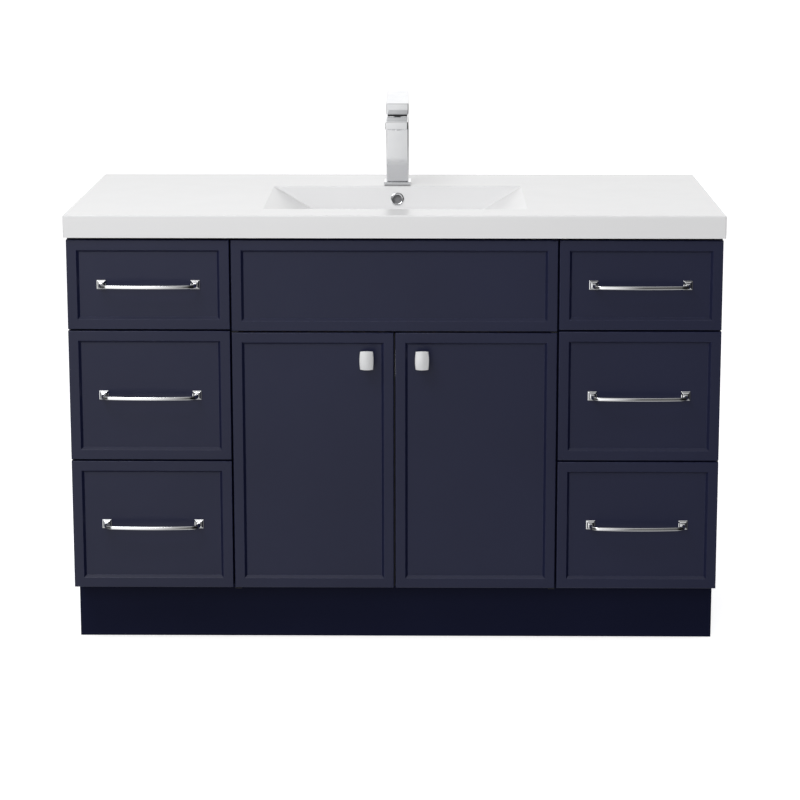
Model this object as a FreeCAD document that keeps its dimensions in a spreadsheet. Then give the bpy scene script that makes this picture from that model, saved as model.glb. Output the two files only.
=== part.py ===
import FreeCAD, Part
import os
import re

import Sketcher

# Bathroom vanity: a three-bay cabinet with six drawers and two doors, a one-piece top with an
# integral basin, and a single-lever faucet. Millimetres, +Z up, fronts facing -Y, +X to the right.
# The origin is the middle of the footprint, on the floor.

SIZES = {
    # cabinet
    "case_width": 1219.2,
    "vanity_depth": 559.0,
    "deck_height": 835.0,
    "side_bay_width": 304.8,
    "panel_thick": 18.0,
    "back_thick": 12.0,
    "kick_height": 117.7,
    "kick_recess": 66.0,
    "kick_thick": 16.0,
    "rail_height": 90.0,
    "sink_rail_height": 60.0,
    "rail_hole_radius": 2.5,
    "stud_spacing": 406.4,
    "cutout_width": 380.0,
    "cutout_height": 220.0,
    "cutout_sill": 270.0,
    # fronts
    "front_thick": 19.0,
    "front_gap": 3.2,
    "edge_reveal": 1.0,
    "top_reveal": 5.5,
    "front_setback": 8.0,
    "case_gap": 2.6,
    "top_drawer_height": 168.4,
    "false_front_height": 171.2,
    "frame_width": 18.5,
    "bevel_width": 4.5,
    "recess_depth": 5.5,
    "edge_round": 1.5,
    # drawers and their three-member slides
    "drawer_wall": 12.0,
    "drawer_floor": 6.0,
    "drawer_floor_lift": 10.0,
    "box_below": 22.0,
    "box_above": 38.0,
    "slide_space": 12.7,
    "slide_steel": 1.5,
    "slide_play": 0.8,
    "slide_height": 45.0,
    "slide_ball": 3.0,
    "slide_lift": 40.0,
    "slide_front_gap": 2.0,
    "slide_back_gap": 50.0,
    # door pivots
    "pivot_inset": 5.0,
    "pin_radius": 2.0,
    "pin_length": 12.0,
    "pin_play": 0.05,
    "pin_end_gap": 1.0,
    "bush_wall": 1.2,
    "arm_thick": 1.6,
    "arm_width": 12.0,
    "arm_edge": 1.5,
    "arm_play": 0.8,
    "arm_length": 46.0,
    "arm_leg": 40.0,
    # pulls and knobs
    "pull_length": 192.0,
    "pull_foot": 17.5,
    "pull_foot_thick": 4.0,
    "pull_post": 11.0,
    "pull_post_rim": 1.0,
    "pull_reach": 33.5,
    "pull_bow": 6.0,
    "pull_bar_high": 6.5,
    "pull_bar_deep": 5.0,
    "knob_width": 26.5,
    "knob_height": 36.0,
    "knob_waist": 1.5,
    "knob_crown": 2.0,
    "knob_head": 13.0,
    "knob_reach": 27.0,
    "knob_stem_radius": 6.0,
    "knob_inset": 50.0,
    "knob_drop": 49.0,
    # top and basin
    "counter_overhang": 2.9,
    "counter_edge": 42.5,
    "bowl_width": 496.0,
    "bowl_length": 302.0,
    "bowl_setback": 81.0,
    "bowl_depth": 115.0,
    "bowl_floor_width": 108.0,
    "bowl_floor_length": 240.0,
    "bowl_wall": 12.0,
    "counter_round": 3.0,
    "overflow_drop": 26.0,
    "overflow_radius": 10.5,
    "overflow_depth": 9.0,
    "overflow_lip": 3.0,
    "overflow_lip_thick": 2.0,
    "overflow_wall": 2.0,
    # waste
    "drain_radius": 22.5,
    "drain_play": 0.3,
    "drain_lip": 9.5,
    "drain_lip_thick": 2.5,
    "drain_wall": 3.0,
    "drain_length": 58.0,
    "drain_seat": 12.0,
    "tail_radius": 15.875,
    "tail_step": 0.4,
    "tail_wall": 1.4,
    "tail_length": 128.0,
    "stopper_play": 0.5,
    "stopper_thick": 3.5,
    "stopper_stem": 4.0,
    "stopper_drop": 26.0,
    "bridge_thick": 4.0,
    "bridge_depth": 14.0,
    # faucet
    "faucet_setback": 39.0,
    "tap_hole_radius": 17.5,
    "base_plate": 54.0,
    "base_plate_thick": 7.0,
    "faucet_width": 44.0,
    "faucet_height": 140.0,
    "spout_reach": 130.0,
    "spout_thick": 16.0,
    "aerator_radius": 11.0,
    "aerator_inset": 16.0,
    "aerator_depth": 7.0,
    "aerator_drop": 1.5,
    "aerator_wall": 2.0,
    "cartridge_radius": 17.0,
    "cartridge_length": 46.0,
    "shank_radius": 14.0,
    "shank_bore": 9.0,
    "shank_entry": 18.0,
    "shank_tail": 34.0,
    "nut_wall": 10.0,
    "nut_thick": 9.0,
    "spindle_radius": 8.0,
    "spindle_depth": 30.0,
    "spindle_head": 12.0,
    "spindle_above_pin": 5.0,
    "lever_gap": 2.5,
    "lever_front": 22.5,
    "lever_pin_lift": 4.5,
    "lever_pin_radius": 2.5,
    "lever_length": 73.0,
    "lever_rise": 18.2,
    "lever_thick": 8.0,
    "lever_wall": 7.0,
    "lever_undercut": 7.0,
    "lever_ceiling": 8.0,
}

# Places that follow from the sizes, each written once as a formula over the names above.
PLACES = {
    "half_case": "case_width / 2",
    "inner_half": "half_case - panel_thick",
    "bay_line": "half_case - side_bay_width",
    "wall_y": "(vanity_depth - front_setback - recess_depth + pull_reach) / 2",
    "counter_y": "wall_y - vanity_depth",
    "face_y": "counter_y + front_setback",
    "recess_y": "face_y + recess_depth",
    "front_back_y": "face_y + front_thick",
    "case_y": "front_back_y + case_gap",
    "inner_back_y": "wall_y - panel_thick",
    "inner_depth": "inner_back_y - case_y",
    "case_top": "deck_height - counter_edge",
    "floor_top": "kick_height + panel_thick",
    "front_top": "case_top - top_reveal",
    "front_bottom": "kick_height + arm_play",
    "top_row_z": "front_top - top_drawer_height",
    "low_drawer_height": "(top_row_z - front_bottom - 2 * front_gap) / 2",
    "middle_row_z": "front_bottom + low_drawer_height + front_gap",
    "false_front_z": "front_top - false_front_height",
    "door_top": "false_front_z - front_gap",
    "door_height": "door_top - front_bottom",
    "drawer_width": "side_bay_width - front_gap / 2 - edge_reveal",
    "door_width": "bay_line - front_gap",
    "door_edge": "bay_line - front_gap / 2",
    "divider_out": "bay_line + panel_thick / 2",
    "divider_in": "bay_line - panel_thick / 2",
    "bay_inner": "inner_half - divider_out",
    "box_width": "bay_inner - 2 * slide_space",
    "slide_y": "case_y + slide_front_gap",
    "slide_length": "inner_depth - slide_front_gap - slide_back_gap",
    "box_length": "slide_y + slide_length - front_back_y",
    "middle_high": "slide_height - 2 * slide_steel - 2 * slide_ball",
    "inner_high": "middle_high - 2 * slide_steel - 2 * slide_ball",
    "middle_web": "slide_steel + slide_play",
    "inner_tip": "middle_web + slide_steel + slide_play",
    "channel_deep": "slide_space - slide_steel - slide_play",
    "bush_radius": "pin_radius + pin_play + bush_wall",
    "pivot_x": "door_edge - pivot_inset",
    "pivot_y": "face_y + pivot_inset",
    "arm_top_z": "door_top + arm_play",
    "pull_half": "pull_length / 2",
    "bar_radius": "(pull_half * pull_half + pull_bow * pull_bow) / (2 * pull_bow)",
    "knob_x": "front_gap / 2 + knob_inset",
    "knob_z": "door_top - knob_drop",
    "knob_side_radius": "(knob_height * knob_height / 4 + knob_waist * knob_waist) / (2 * knob_waist)",
    "knob_face_radius": "(knob_width * knob_width / 4 + knob_crown * knob_crown) / (2 * knob_crown)",
    "counter_width": "case_width + 2 * counter_overhang",
    "bowl_y": "counter_y + bowl_setback",
    "bowl_back_y": "bowl_y + bowl_length",
    "bowl_mid_y": "bowl_y + bowl_length / 2",
    "bowl_floor_z": "deck_height - bowl_depth",
    "bowl_lean": "(bowl_length - bowl_floor_length) / 2",
    "drain_outer": "drain_radius - drain_play",
    "drain_bore": "drain_outer - drain_wall",
    "drain_end_z": "bowl_floor_z - drain_length",
    "tail_top_z": "drain_end_z + drain_seat",
    "bridge_z": "bowl_floor_z - bridge_depth",
    "faucet_y": "bowl_back_y + faucet_setback",
    "faucet_half": "faucet_width / 2",
    "spout_z": "deck_height + faucet_height - spout_thick",
    "faucet_top": "deck_height + faucet_height",
    "lever_z": "faucet_top + lever_gap",
    "lever_pin_z": "lever_z + lever_pin_lift",
    "cartridge_z": "faucet_top - cartridge_length",
}


document = FreeCAD.newDocument("vanity")
nodes = []
TOUCH = 0.01  # millimetres within which an edge counts as lying on a face


def make_sheet(name, cells):
    """A spreadsheet with one named cell per line: the name in column A, its value in column B."""
    sheet = document.addObject("Spreadsheet::Sheet", name)
    for row, (alias, content) in enumerate(cells.items(), start=1):
        sheet.set(f"A{row}", alias)
        sheet.set(f"B{row}", str(content))
        sheet.setAlias(f"B{row}", alias)
    document.recompute()
    return sheet


def linked(formula):
    """The formula with each name pointing at its cell."""
    def cell(match):
        word = match.group(0)
        if word in SIZES:
            return "sizes." + word
        if word in PLACES:
            return "places." + word
        return word
    return re.sub(r"[a-z_]+", cell, formula)


def local(formula):
    """The same for a formula inside the sheet of places, where its own names stay bare."""
    return "=" + re.sub(r"[a-z_]+", lambda m: m[0] if m[0] in PLACES else "sizes." + m[0], formula)


sizes = make_sheet("sizes", SIZES)
places = make_sheet("places", {name: local(formula) for name, formula in PLACES.items()})


def value(name):
    """The number that a named cell holds."""
    return float(getattr(sizes if name in SIZES else places, name))


def bind(item, bindings):
    """Tie properties to formulas."""
    for prop, formula in bindings.items():
        item.setExpression(prop, linked(formula))


def place(item, at):
    bind(item, {"Placement.Base.x": at[0], "Placement.Base.y": at[1], "Placement.Base.z": at[2]})


def node(item, name):
    """Make an object a sub-part, which gets its own file."""
    item.Label = name
    nodes.append(item)
    return item


def box(at, size):
    item = document.addObject("Part::Box", "Box")
    bind(item, {"Length": size[0], "Width": size[1], "Height": size[2]})
    place(item, at)
    return item


TURNS = {
    "x": FreeCAD.Rotation(FreeCAD.Vector(0, 1, 0), 90),
    "y": FreeCAD.Rotation(FreeCAD.Vector(1, 0, 0), -90),
    "z": FreeCAD.Rotation(),
}


def cylinder(at, radius, length, along="z"):
    """A cylinder that starts at a point and runs along +X, +Y or +Z."""
    item = document.addObject("Part::Cylinder", "Cylinder")
    item.Placement = FreeCAD.Placement(FreeCAD.Vector(), TURNS[along])
    bind(item, {"Radius": radius, "Height": length})
    place(item, at)
    return item


def tube(at, radius, bore, length, along="z"):
    return cut(cylinder(at, radius, length, along), cylinder(at, bore, length, along))


def cut(base, *tools):
    for tool in tools:
        item = document.addObject("Part::Cut", "Cut")
        item.Base = base
        item.Tool = tool
        base = item
    return base


def gather(kind, items):
    """One object from several: Part::MultiFuse, Part::MultiCommon or Part::Compound."""
    item = document.addObject(kind, "Group")
    if kind == "Part::Compound":
        item.Links = items
    else:
        item.Shapes = items
    return item


def fuse(*items):
    return gather("Part::MultiFuse", list(items))


def common(*items):
    return gather("Part::MultiCommon", list(items))


def compound(*items):
    return gather("Part::Compound", list(items))


# Bodies made from sketches

def new_body(name, at):
    body = document.addObject("PartDesign::Body", "Body")
    place(body, at)
    return node(body, name)


def plane(body, role):
    return next(item for item in body.Origin.OriginFeatures if item.Role == role)


def sketch_on(body, role, height="0"):
    sketch = body.newObject("Sketcher::SketchObject", "Sketch")
    sketch.AttachmentSupport = [(plane(body, role), "")]
    sketch.MapMode = "FlatFace"
    if height != "0":
        bind(sketch, {"AttachmentOffset.Base.z": height})
    return sketch


def pin_point(sketch, line, end, axis, formula):
    """Hold one end of a line at a distance from the sketch's origin."""
    if formula == "0":
        sketch.addConstraint(Sketcher.Constraint("PointOnObject", line, end, -2 if axis == "X" else -1))
        return
    index = sketch.addConstraint(Sketcher.Constraint("Distance" + axis, -1, 1, line, end, 1.0))
    sketch.renameConstraint(index, f"point{line}{axis.lower()}")
    sketch.setExpression(f"Constraints.point{line}{axis.lower()}", linked(formula))


def draw_polygon(sketch, guide, points):
    """A closed outline whose corners are tied to formulas; guide gives their rough places."""
    count = len(points)
    for index in range(count):
        start = FreeCAD.Vector(*guide[index], 0)
        end = FreeCAD.Vector(*guide[(index + 1) % count], 0)
        sketch.addGeometry(Part.LineSegment(start, end), False)
    for index in range(count):
        sketch.addConstraint(Sketcher.Constraint("Coincident", index, 2, (index + 1) % count, 1))
    for index, (across, up) in enumerate(points):
        pin_point(sketch, index, 1, "X", across)
        pin_point(sketch, index, 1, "Y", up)


def draw_rectangle(sketch, left, low, width, high):
    """An upright rectangle from its lower left corner and its size."""
    sketch.addGeometry([
        Part.LineSegment(FreeCAD.Vector(1, 1, 0), FreeCAD.Vector(9, 1, 0)),
        Part.LineSegment(FreeCAD.Vector(9, 1, 0), FreeCAD.Vector(9, 9, 0)),
        Part.LineSegment(FreeCAD.Vector(9, 9, 0), FreeCAD.Vector(1, 9, 0)),
        Part.LineSegment(FreeCAD.Vector(1, 9, 0), FreeCAD.Vector(1, 1, 0)),
    ], False)
    for index in range(4):
        sketch.addConstraint(Sketcher.Constraint("Coincident", index, 2, (index + 1) % 4, 1))
    for index in (0, 2):
        sketch.addConstraint(Sketcher.Constraint("Horizontal", index))
        sketch.addConstraint(Sketcher.Constraint("Vertical", index + 1))
    pin_point(sketch, 0, 1, "X", left)
    pin_point(sketch, 0, 1, "Y", low)
    for name, axis, line, formula in (("width", "X", 0, width), ("high", "Y", 1, high)):
        index = sketch.addConstraint(Sketcher.Constraint("Distance" + axis, line, 1, line, 2, 8.0))
        sketch.renameConstraint(index, name)
        sketch.setExpression(f"Constraints.{name}", linked(formula))


def draw_circle(sketch, across, up, radius):
    sketch.addGeometry(Part.Circle(FreeCAD.Vector(1, 1, 0), FreeCAD.Vector(0, 0, 1), 1.0), False)
    pin_point(sketch, 0, 3, "X", across)
    pin_point(sketch, 0, 3, "Y", up)
    index = sketch.addConstraint(Sketcher.Constraint("Radius", 0, 1.0))
    sketch.renameConstraint(index, "radius")
    sketch.setExpression("Constraints.radius", linked(radius))


def extrude(body, kind, sketch, length, backwards=False, midplane=False):
    """A Pad or Pocket of a sketch."""
    feature = body.newObject("PartDesign::" + kind, kind)
    feature.Profile = sketch
    feature.Reversed = backwards
    feature.Midplane = midplane
    bind(feature, {"Length": length})
    document.recompute()
    return feature


def round_edges(body, feature, chosen, radius):
    """A fillet on the edges of the last feature that pass a test."""
    names = [f"Edge{i}" for i, edge in enumerate(feature.Shape.Edges, start=1) if chosen(edge.BoundBox)]
    fillet = body.newObject("PartDesign::Fillet", "Fillet")
    fillet.Base = (feature, names)
    bind(fillet, {"Radius": radius})
    document.recompute()
    return fillet


# Cabinet case

def side_panel(name, x):
    slab = box((x, "case_y", "0"), ("panel_thick", "wall_y - case_y", "case_top"))
    notch = box((x, "case_y", "0"),
                ("panel_thick", "face_y + kick_recess + kick_thick - case_y", "kick_height"))
    node(cut(slab, notch), name)


def divider(name, x):
    node(box((x, "case_y", "floor_top"), ("panel_thick", "inner_depth", "case_top - floor_top")), name)


def hanging_rail():
    """The rail across the back that is screwed to the wall studs."""
    rail = box(("-inner_half", "inner_back_y", "case_top - rail_height"),
               ("2 * inner_half", "panel_thick", "rail_height"))
    holes = [
        cylinder((x, "inner_back_y", "case_top - rail_height / 2"), "rail_hole_radius", "panel_thick", "y")
        for x in ("-stud_spacing", "stud_spacing")
    ]
    node(cut(rail, *holes), "hanging_rail")


def back_panel():
    """The back, held off the wall, with an opening for the water and waste pipes."""
    sheet = box(("-inner_half", "inner_back_y", "kick_height"),
                ("2 * inner_half", "back_thick", "case_top - rail_height - kick_height"))
    opening = box(("-cutout_width / 2", "inner_back_y", "floor_top + cutout_sill"),
                  ("cutout_width", "back_thick", "cutout_height"))
    node(cut(sheet, opening), "back_panel")


def case():
    side_panel("left_side_panel", "-half_case")
    side_panel("right_side_panel", "inner_half")
    divider("left_divider", "-divider_out")
    divider("right_divider", "divider_in")
    node(box(("-inner_half", "case_y", "kick_height"), ("2 * inner_half", "inner_depth", "panel_thick")),
         "bottom_panel")
    node(box(("-half_case", "face_y + kick_recess", "0"), ("case_width", "kick_thick", "kick_height")),
         "toe_kick")
    node(box(("-divider_in", "front_back_y", "case_top - sink_rail_height"),
             ("2 * divider_in", "case_gap + panel_thick", "sink_rail_height")), "sink_front_rail")
    back_panel()
    hanging_rail()


# Fronts

def shaker_front(name, x, z, width, height):
    """A panel with a flat frame, a bevel down to a recessed field, and eased outer edges."""
    body = new_body(name, (x, "face_y", z))
    outline = sketch_on(body, "XZ_Plane")
    draw_rectangle(outline, "0", "0", width, height)
    slab = extrude(body, "Pad", outline, "front_thick", backwards=True)
    low = slab.Shape.BoundBox
    fillet = round_edges(
        body, slab,
        lambda edge: edge.YMax < low.YMin + TOUCH,
        "edge_round")
    before = fillet.Shape.Volume
    mouth = sketch_on(body, "XZ_Plane")
    draw_rectangle(mouth, "frame_width", "frame_width",
                   f"{width} - 2 * frame_width", f"{height} - 2 * frame_width")
    recess = extrude(body, "Pocket", mouth, "recess_depth")
    bind(recess, {"TaperAngle": "-atan(bevel_width / recess_depth)"})
    document.recompute()
    if recess.Shape.Volume >= before:
        raise RuntimeError(name + ": the recess cuts nothing")
    body.Tip = recess
    return body


def pivot_socket(body, x, height, upper):
    """A blind hole in the top or bottom edge of a door, for a pivot bush."""
    sketch = sketch_on(body, "XY_Plane", height if upper else "0")
    draw_circle(sketch, x, "pivot_inset", "bush_radius")
    before = body.Tip.Shape.Volume
    hole = extrude(body, "Pocket", sketch, "pin_length", backwards=not upper)
    if hole.Shape.Volume >= before:
        raise RuntimeError("a pivot hole cuts nothing")
    body.Tip = hole


def pull(name, x, z):
    """A bowed bar on two square stepped feet."""
    feet = []
    for side in "-+":
        foot_x = f"{x} {side} (pull_half - pull_foot / 2)"
        feet.append(box((f"{foot_x} - pull_foot / 2", "recess_y - pull_foot_thick", f"{z} - pull_foot / 2"),
                        ("pull_foot", "pull_foot_thick", "pull_foot")))
        feet.append(box((f"{foot_x} - pull_post / 2", "recess_y - pull_reach + pull_bow + pull_bar_deep / 2",
                         f"{z} - pull_bar_high / 2 - pull_post_rim"),
                        ("pull_post", "pull_reach - pull_bow - pull_bar_deep / 2 - pull_foot_thick",
                         "pull_bar_high + 2 * pull_post_rim")))
    axis = (x, "recess_y - pull_reach + bar_radius", f"{z} - pull_bar_high / 2")
    ring = tube(axis, "bar_radius", "bar_radius - pull_bar_deep", "pull_bar_high")
    span = box((f"{x} - pull_half + pull_foot / 2 - pull_post / 2", "recess_y - pull_reach", axis[2]),
               ("pull_length - pull_foot + pull_post", "pull_bow + 2 * pull_bar_deep", "pull_bar_high"))
    node(fuse(common(ring, span), *feet), name)


def knob(name, x):
    """A barrel-sided rectangular knob with a crowned face, on a round stem."""
    face_y = "recess_y - knob_reach"
    low = "knob_z - knob_height / 2"
    block = box((f"{x} - knob_width / 2", face_y, low), ("knob_width", "knob_head", "knob_height"))
    left = cylinder((f"{x} + knob_width / 2 - knob_side_radius", face_y, "knob_z"),
                    "knob_side_radius", "knob_head", "y")
    right = cylinder((f"{x} - knob_width / 2 + knob_side_radius", face_y, "knob_z"),
                     "knob_side_radius", "knob_head", "y")
    crown = cylinder((x, f"{face_y} + knob_face_radius", low), "knob_face_radius", "knob_height")
    stem_y = f"{face_y} + knob_head"
    stem = cylinder((x, stem_y, "knob_z"), "knob_stem_radius", "knob_reach - knob_head", "y")
    node(fuse(common(block, left, right, crown), stem), name)


def drawer_box(name, left, z, height):
    """Four walls and a floor, as separate boards."""
    inner_width = "box_width - 2 * drawer_wall"
    inner_left = f"{left} + drawer_wall"
    back_y = "front_back_y + box_length - drawer_wall"
    boards = [
        box((left, "front_back_y", z), ("drawer_wall", "box_length", height)),
        box((f"{left} + box_width - drawer_wall", "front_back_y", z), ("drawer_wall", "box_length", height)),
        box((inner_left, "front_back_y", z), (inner_width, "drawer_wall", height)),
        box((inner_left, back_y, z), (inner_width, "drawer_wall", height)),
        box((inner_left, "front_back_y + drawer_wall", f"{z} + drawer_floor_lift"),
            (inner_width, "box_length - 2 * drawer_wall", "drawer_floor")),
    ]
    node(compound(*boards), name)


def channel(wall, facing, start, depth, high, z, opens_inward):
    """One rolled C section of a slide. It runs front to back beside a wall at x = wall; facing is
    the sign of X from that wall into the bay, and the section spans start to start + depth."""
    steel = "slide_steel"
    near = f"{wall} + ({start})" if facing > 0 else f"{wall} - ({start}) - ({depth})"
    outer = box((near, "slide_y", f"{z} - ({high}) / 2"), (depth, "slide_length", high))
    web_is_near = opens_inward == (facing > 0)
    slot_x = f"{near} + {steel}" if web_is_near else near
    slot = box((slot_x, "slide_y", f"{z} - ({high}) / 2 + {steel}"),
               (f"{depth} - {steel}", "slide_length", f"{high} - 2 * {steel}"))
    return cut(outer, slot)


def slide_members(walls, z):
    """The cabinet, middle and drawer members of one drawer's pair of slides."""
    cabinet, middle, drawer = [], [], []
    for wall, facing in walls:
        cabinet.append(channel(wall, facing, "0", "channel_deep", "slide_height", z, True))
        middle.append(channel(wall, facing, "middle_web", "channel_deep - slide_play", "middle_high",
                              z, True))
        drawer.append(channel(wall, facing, "inner_tip", "slide_space - inner_tip", "inner_high", z, False))
    return cabinet, middle, drawer


def drawers():
    """Six drawers in two columns. Each has a front, a box, a pull and a pair of slides."""
    columns = {
        "left": ("-half_case + edge_reveal", "-inner_half", "-divider_out"),
        "right": ("bay_line + front_gap / 2", "divider_out", "inner_half"),
    }
    rows = {
        "top": ("top_row_z", "top_drawer_height"),
        "middle": ("middle_row_z", "low_drawer_height"),
        "bottom": ("front_bottom", "low_drawer_height"),
    }
    cabinet_members = []
    for side, (front_x, low_wall, high_wall) in columns.items():
        for row, (z, height) in rows.items():
            name = f"{side}_{row}_"
            shaker_front(name + "drawer_front", front_x, z, "drawer_width", height)
            pull(name + "pull", f"{front_x} + drawer_width / 2", f"{z} + {height} / 2")
            drawer_box(name + "drawer_box", f"{low_wall} + slide_space", f"{z} + box_below",
                       f"{height} - box_below - box_above")
            cabinet, middle, drawer = slide_members(
                ((low_wall, 1), (high_wall, -1)), f"{z} + box_below + slide_lift")
            cabinet_members += cabinet
            node(compound(*middle), name + "middle_rails")
            node(compound(*drawer), name + "drawer_rails")
    node(compound(*cabinet_members), "cabinet_rails")


def doors():
    """Two doors on pins at their top and bottom edges, a fixed front above them, and the knobs."""
    shaker_front("false_front", "-door_edge", "false_front_z", "2 * door_edge", "false_front_height")
    sides = {
        "left": ("-door_edge", "pivot_inset", "-pivot_x", "-knob_x"),
        "right": ("front_gap / 2", "door_width - pivot_inset", "pivot_x", "knob_x"),
    }
    for side, (x, socket_x, pivot_x, knob_x) in sides.items():
        door = shaker_front(side + "_door", x, "front_bottom", "door_width", "door_height")
        pivot_socket(door, socket_x, "door_height", upper=True)
        pivot_socket(door, socket_x, "door_height", upper=False)
        knob(side + "_knob", knob_x)
        bushes = [
            tube((pivot_x, "pivot_y", z), "bush_radius", "pin_radius + pin_play", "pin_length")
            for z in ("front_bottom", "door_top - pin_length")
        ]
        node(compound(*bushes), side + "_door_bushes")


def door_pivots():
    """Four steel arms that carry the door pins: two above the doors, two under the case floor."""
    arms = []
    pin_long = "pin_length + arm_play - pin_end_gap"
    arm_y = "face_y + arm_edge"
    ahead = f"case_y - ({arm_y})"
    behind = f"arm_length - ({ahead})"
    shelf_wide = "arm_width - door_edge + divider_in"
    for side in (-1, 1):
        outer = "-door_edge" if side < 0 else "door_edge - arm_width"
        pin_x = "-pivot_x" if side < 0 else "pivot_x"
        leg_x = "-divider_in" if side < 0 else "divider_in - arm_thick"
        shelf_x = "-divider_in" if side < 0 else f"divider_in - ({shelf_wide})"
        top = box((outer, arm_y, "arm_top_z"), ("arm_width", ahead, "arm_thick"))
        leg = box((leg_x, "case_y", "arm_top_z - arm_leg"), ("arm_thick", behind, "arm_leg"))
        shelf = box((shelf_x, "case_y", "arm_top_z"), (shelf_wide, behind, "arm_thick"))
        top_pin = cylinder((pin_x, "pivot_y", "door_top - pin_length + pin_end_gap"), "pin_radius", pin_long)
        arms.append(fuse(top, leg, shelf, top_pin))
        bottom = box((outer, arm_y, "kick_height - arm_thick"), ("arm_width", "arm_length", "arm_thick"))
        bottom_pin = cylinder((pin_x, "pivot_y", "kick_height"), "pin_radius", pin_long)
        arms.append(fuse(bottom, bottom_pin))
    node(compound(*arms), "door_pivots")


# Top and basin

def draw_centred(sketch, front, width, length):
    draw_rectangle(sketch, f"-({width}) / 2", front, width, length)


def loft(body, kind, first, last):
    feature = body.newObject("PartDesign::" + kind, kind)
    feature.Profile = first
    feature.Sections = [last]
    feature.Ruled = True
    document.recompute()
    return feature


def countertop():
    """A slab with a ramped basin cast into it, a tap hole, a waste hole and an overflow hole."""
    body = document.addObject("PartDesign::Body", "Body")
    place(body, ("0", "counter_y", "deck_height"))
    outline = sketch_on(body, "XY_Plane")
    draw_centred(outline, "0", "counter_width", "vanity_depth")
    slab = extrude(body, "Pad", outline, "counter_edge", backwards=True)
    rim = slab.Shape.BoundBox
    eased = round_edges(
        body, slab,
        lambda edge: edge.YMin < rim.YMax - TOUCH and (edge.ZMin > rim.ZMax - TOUCH or (
            edge.ZLength > TOUCH and edge.YMax < rim.YMin + TOUCH)),
        "counter_round")
    shell_top = sketch_on(body, "XY_Plane", "-counter_edge / 2")
    draw_centred(shell_top, "bowl_setback - bowl_wall", "bowl_width + 2 * bowl_wall",
                 "bowl_length + 2 * bowl_wall")
    shell_end = sketch_on(body, "XY_Plane", "-bowl_depth - bowl_wall")
    draw_centred(shell_end, "bowl_setback + bowl_lean - bowl_wall",
                 "bowl_floor_width + 2 * bowl_wall", "bowl_floor_length + 2 * bowl_wall")
    shell = loft(body, "AdditiveLoft", shell_top, shell_end)
    bowl_top = sketch_on(body, "XY_Plane")
    draw_centred(bowl_top, "bowl_setback", "bowl_width", "bowl_length")
    bowl_end = sketch_on(body, "XY_Plane", "-bowl_depth")
    draw_centred(bowl_end, "bowl_setback + bowl_lean", "bowl_floor_width", "bowl_floor_length")
    bowl = loft(body, "SubtractiveLoft", bowl_top, bowl_end)
    if not (eased.Shape.Volume < shell.Shape.Volume and bowl.Shape.Volume < shell.Shape.Volume):
        raise RuntimeError("the basin's lofts add or cut nothing")
    body.Tip = bowl
    drain = cylinder(("0", "bowl_mid_y", "bowl_floor_z - bowl_wall"), "drain_radius", "bowl_wall")
    tap = cylinder(("0", "faucet_y", "case_top"), "tap_hole_radius", "counter_edge")
    overflow = overflow_cylinder("overflow_radius", "overflow_depth", "0")
    node(cut(body, drain, tap, overflow), "countertop_sink")


def overflow_cylinder(radius, length, proud):
    """A cylinder square to the basin's leaning back wall, running into the wall."""
    item = document.addObject("Part::Cylinder", "Cylinder")
    bind(item, {"Radius": radius, "Height": length})
    lean = "atan(bowl_lean / bowl_depth)"
    y = f"bowl_back_y - overflow_drop * bowl_lean / bowl_depth - ({proud}) * cos({lean})"
    z = f"deck_height - overflow_drop + ({proud}) * sin({lean})"
    turn = f"rotation(vector(1; 0; 0); -90 - {lean} / 1 deg)"
    item.setExpression("Placement", linked(f"placement(vector(0; {y}; {z}); {turn})"))
    return item


def overflow_ring():
    sleeve = overflow_cylinder("overflow_radius", "overflow_depth", "0")
    lip = overflow_cylinder("overflow_radius + overflow_lip", "overflow_lip_thick", "overflow_lip_thick")
    bore = overflow_cylinder("overflow_radius - overflow_wall", "overflow_depth + overflow_lip_thick",
                             "overflow_lip_thick")
    node(cut(fuse(sleeve, lip), bore), "overflow_ring")


# Waste

def waste():
    """The waste fitting in the basin floor, its tailpiece, and the pop-up stopper."""
    centre = ("0", "bowl_mid_y")
    lip = cylinder((*centre, "bowl_floor_z"), "drain_radius + drain_lip", "drain_lip_thick")
    barrel = cylinder((*centre, "drain_end_z"), "drain_outer", "drain_length")
    bore = cylinder((*centre, "tail_top_z"), "drain_bore", "drain_length - drain_seat + drain_lip_thick")
    outlet = cylinder((*centre, "drain_end_z"), "tail_radius - tail_step", "drain_seat")
    bridge = box(("-drain_bore", "bowl_mid_y - stopper_stem - drain_wall", "bridge_z"),
                 ("2 * drain_bore", "2 * (stopper_stem + drain_wall)", "bridge_thick"))
    guide = cylinder((*centre, "bridge_z"), "stopper_stem + pin_play", "bridge_thick")
    held = common(bridge, cylinder((*centre, "bridge_z"), "drain_outer", "bridge_thick"))
    node(cut(fuse(cut(fuse(lip, barrel), bore, outlet), held), guide), "drain_flange")
    spigot = cylinder((*centre, "drain_end_z"), "tail_radius - tail_step", "drain_seat")
    pipe = cylinder((*centre, "drain_end_z - tail_length"), "tail_radius", "tail_length")
    pipe_bore = cylinder((*centre, "drain_end_z - tail_length"), "tail_radius - tail_wall",
                         "tail_length + drain_seat")
    node(cut(fuse(pipe, spigot), pipe_bore), "drain_tailpiece")
    cap = cylinder((*centre, "bowl_floor_z + drain_lip_thick - stopper_thick"),
                   "drain_bore - stopper_play", "stopper_thick")
    stem = cylinder((*centre, "bowl_floor_z - stopper_drop"), "stopper_stem",
                    "stopper_drop + drain_lip_thick - stopper_thick")
    node(fuse(cap, stem), "drain_stopper")


# Faucet

def centred_box(width, y, length, z, high):
    return box((f"-({width}) / 2", y, z), (width, length, high))


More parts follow.
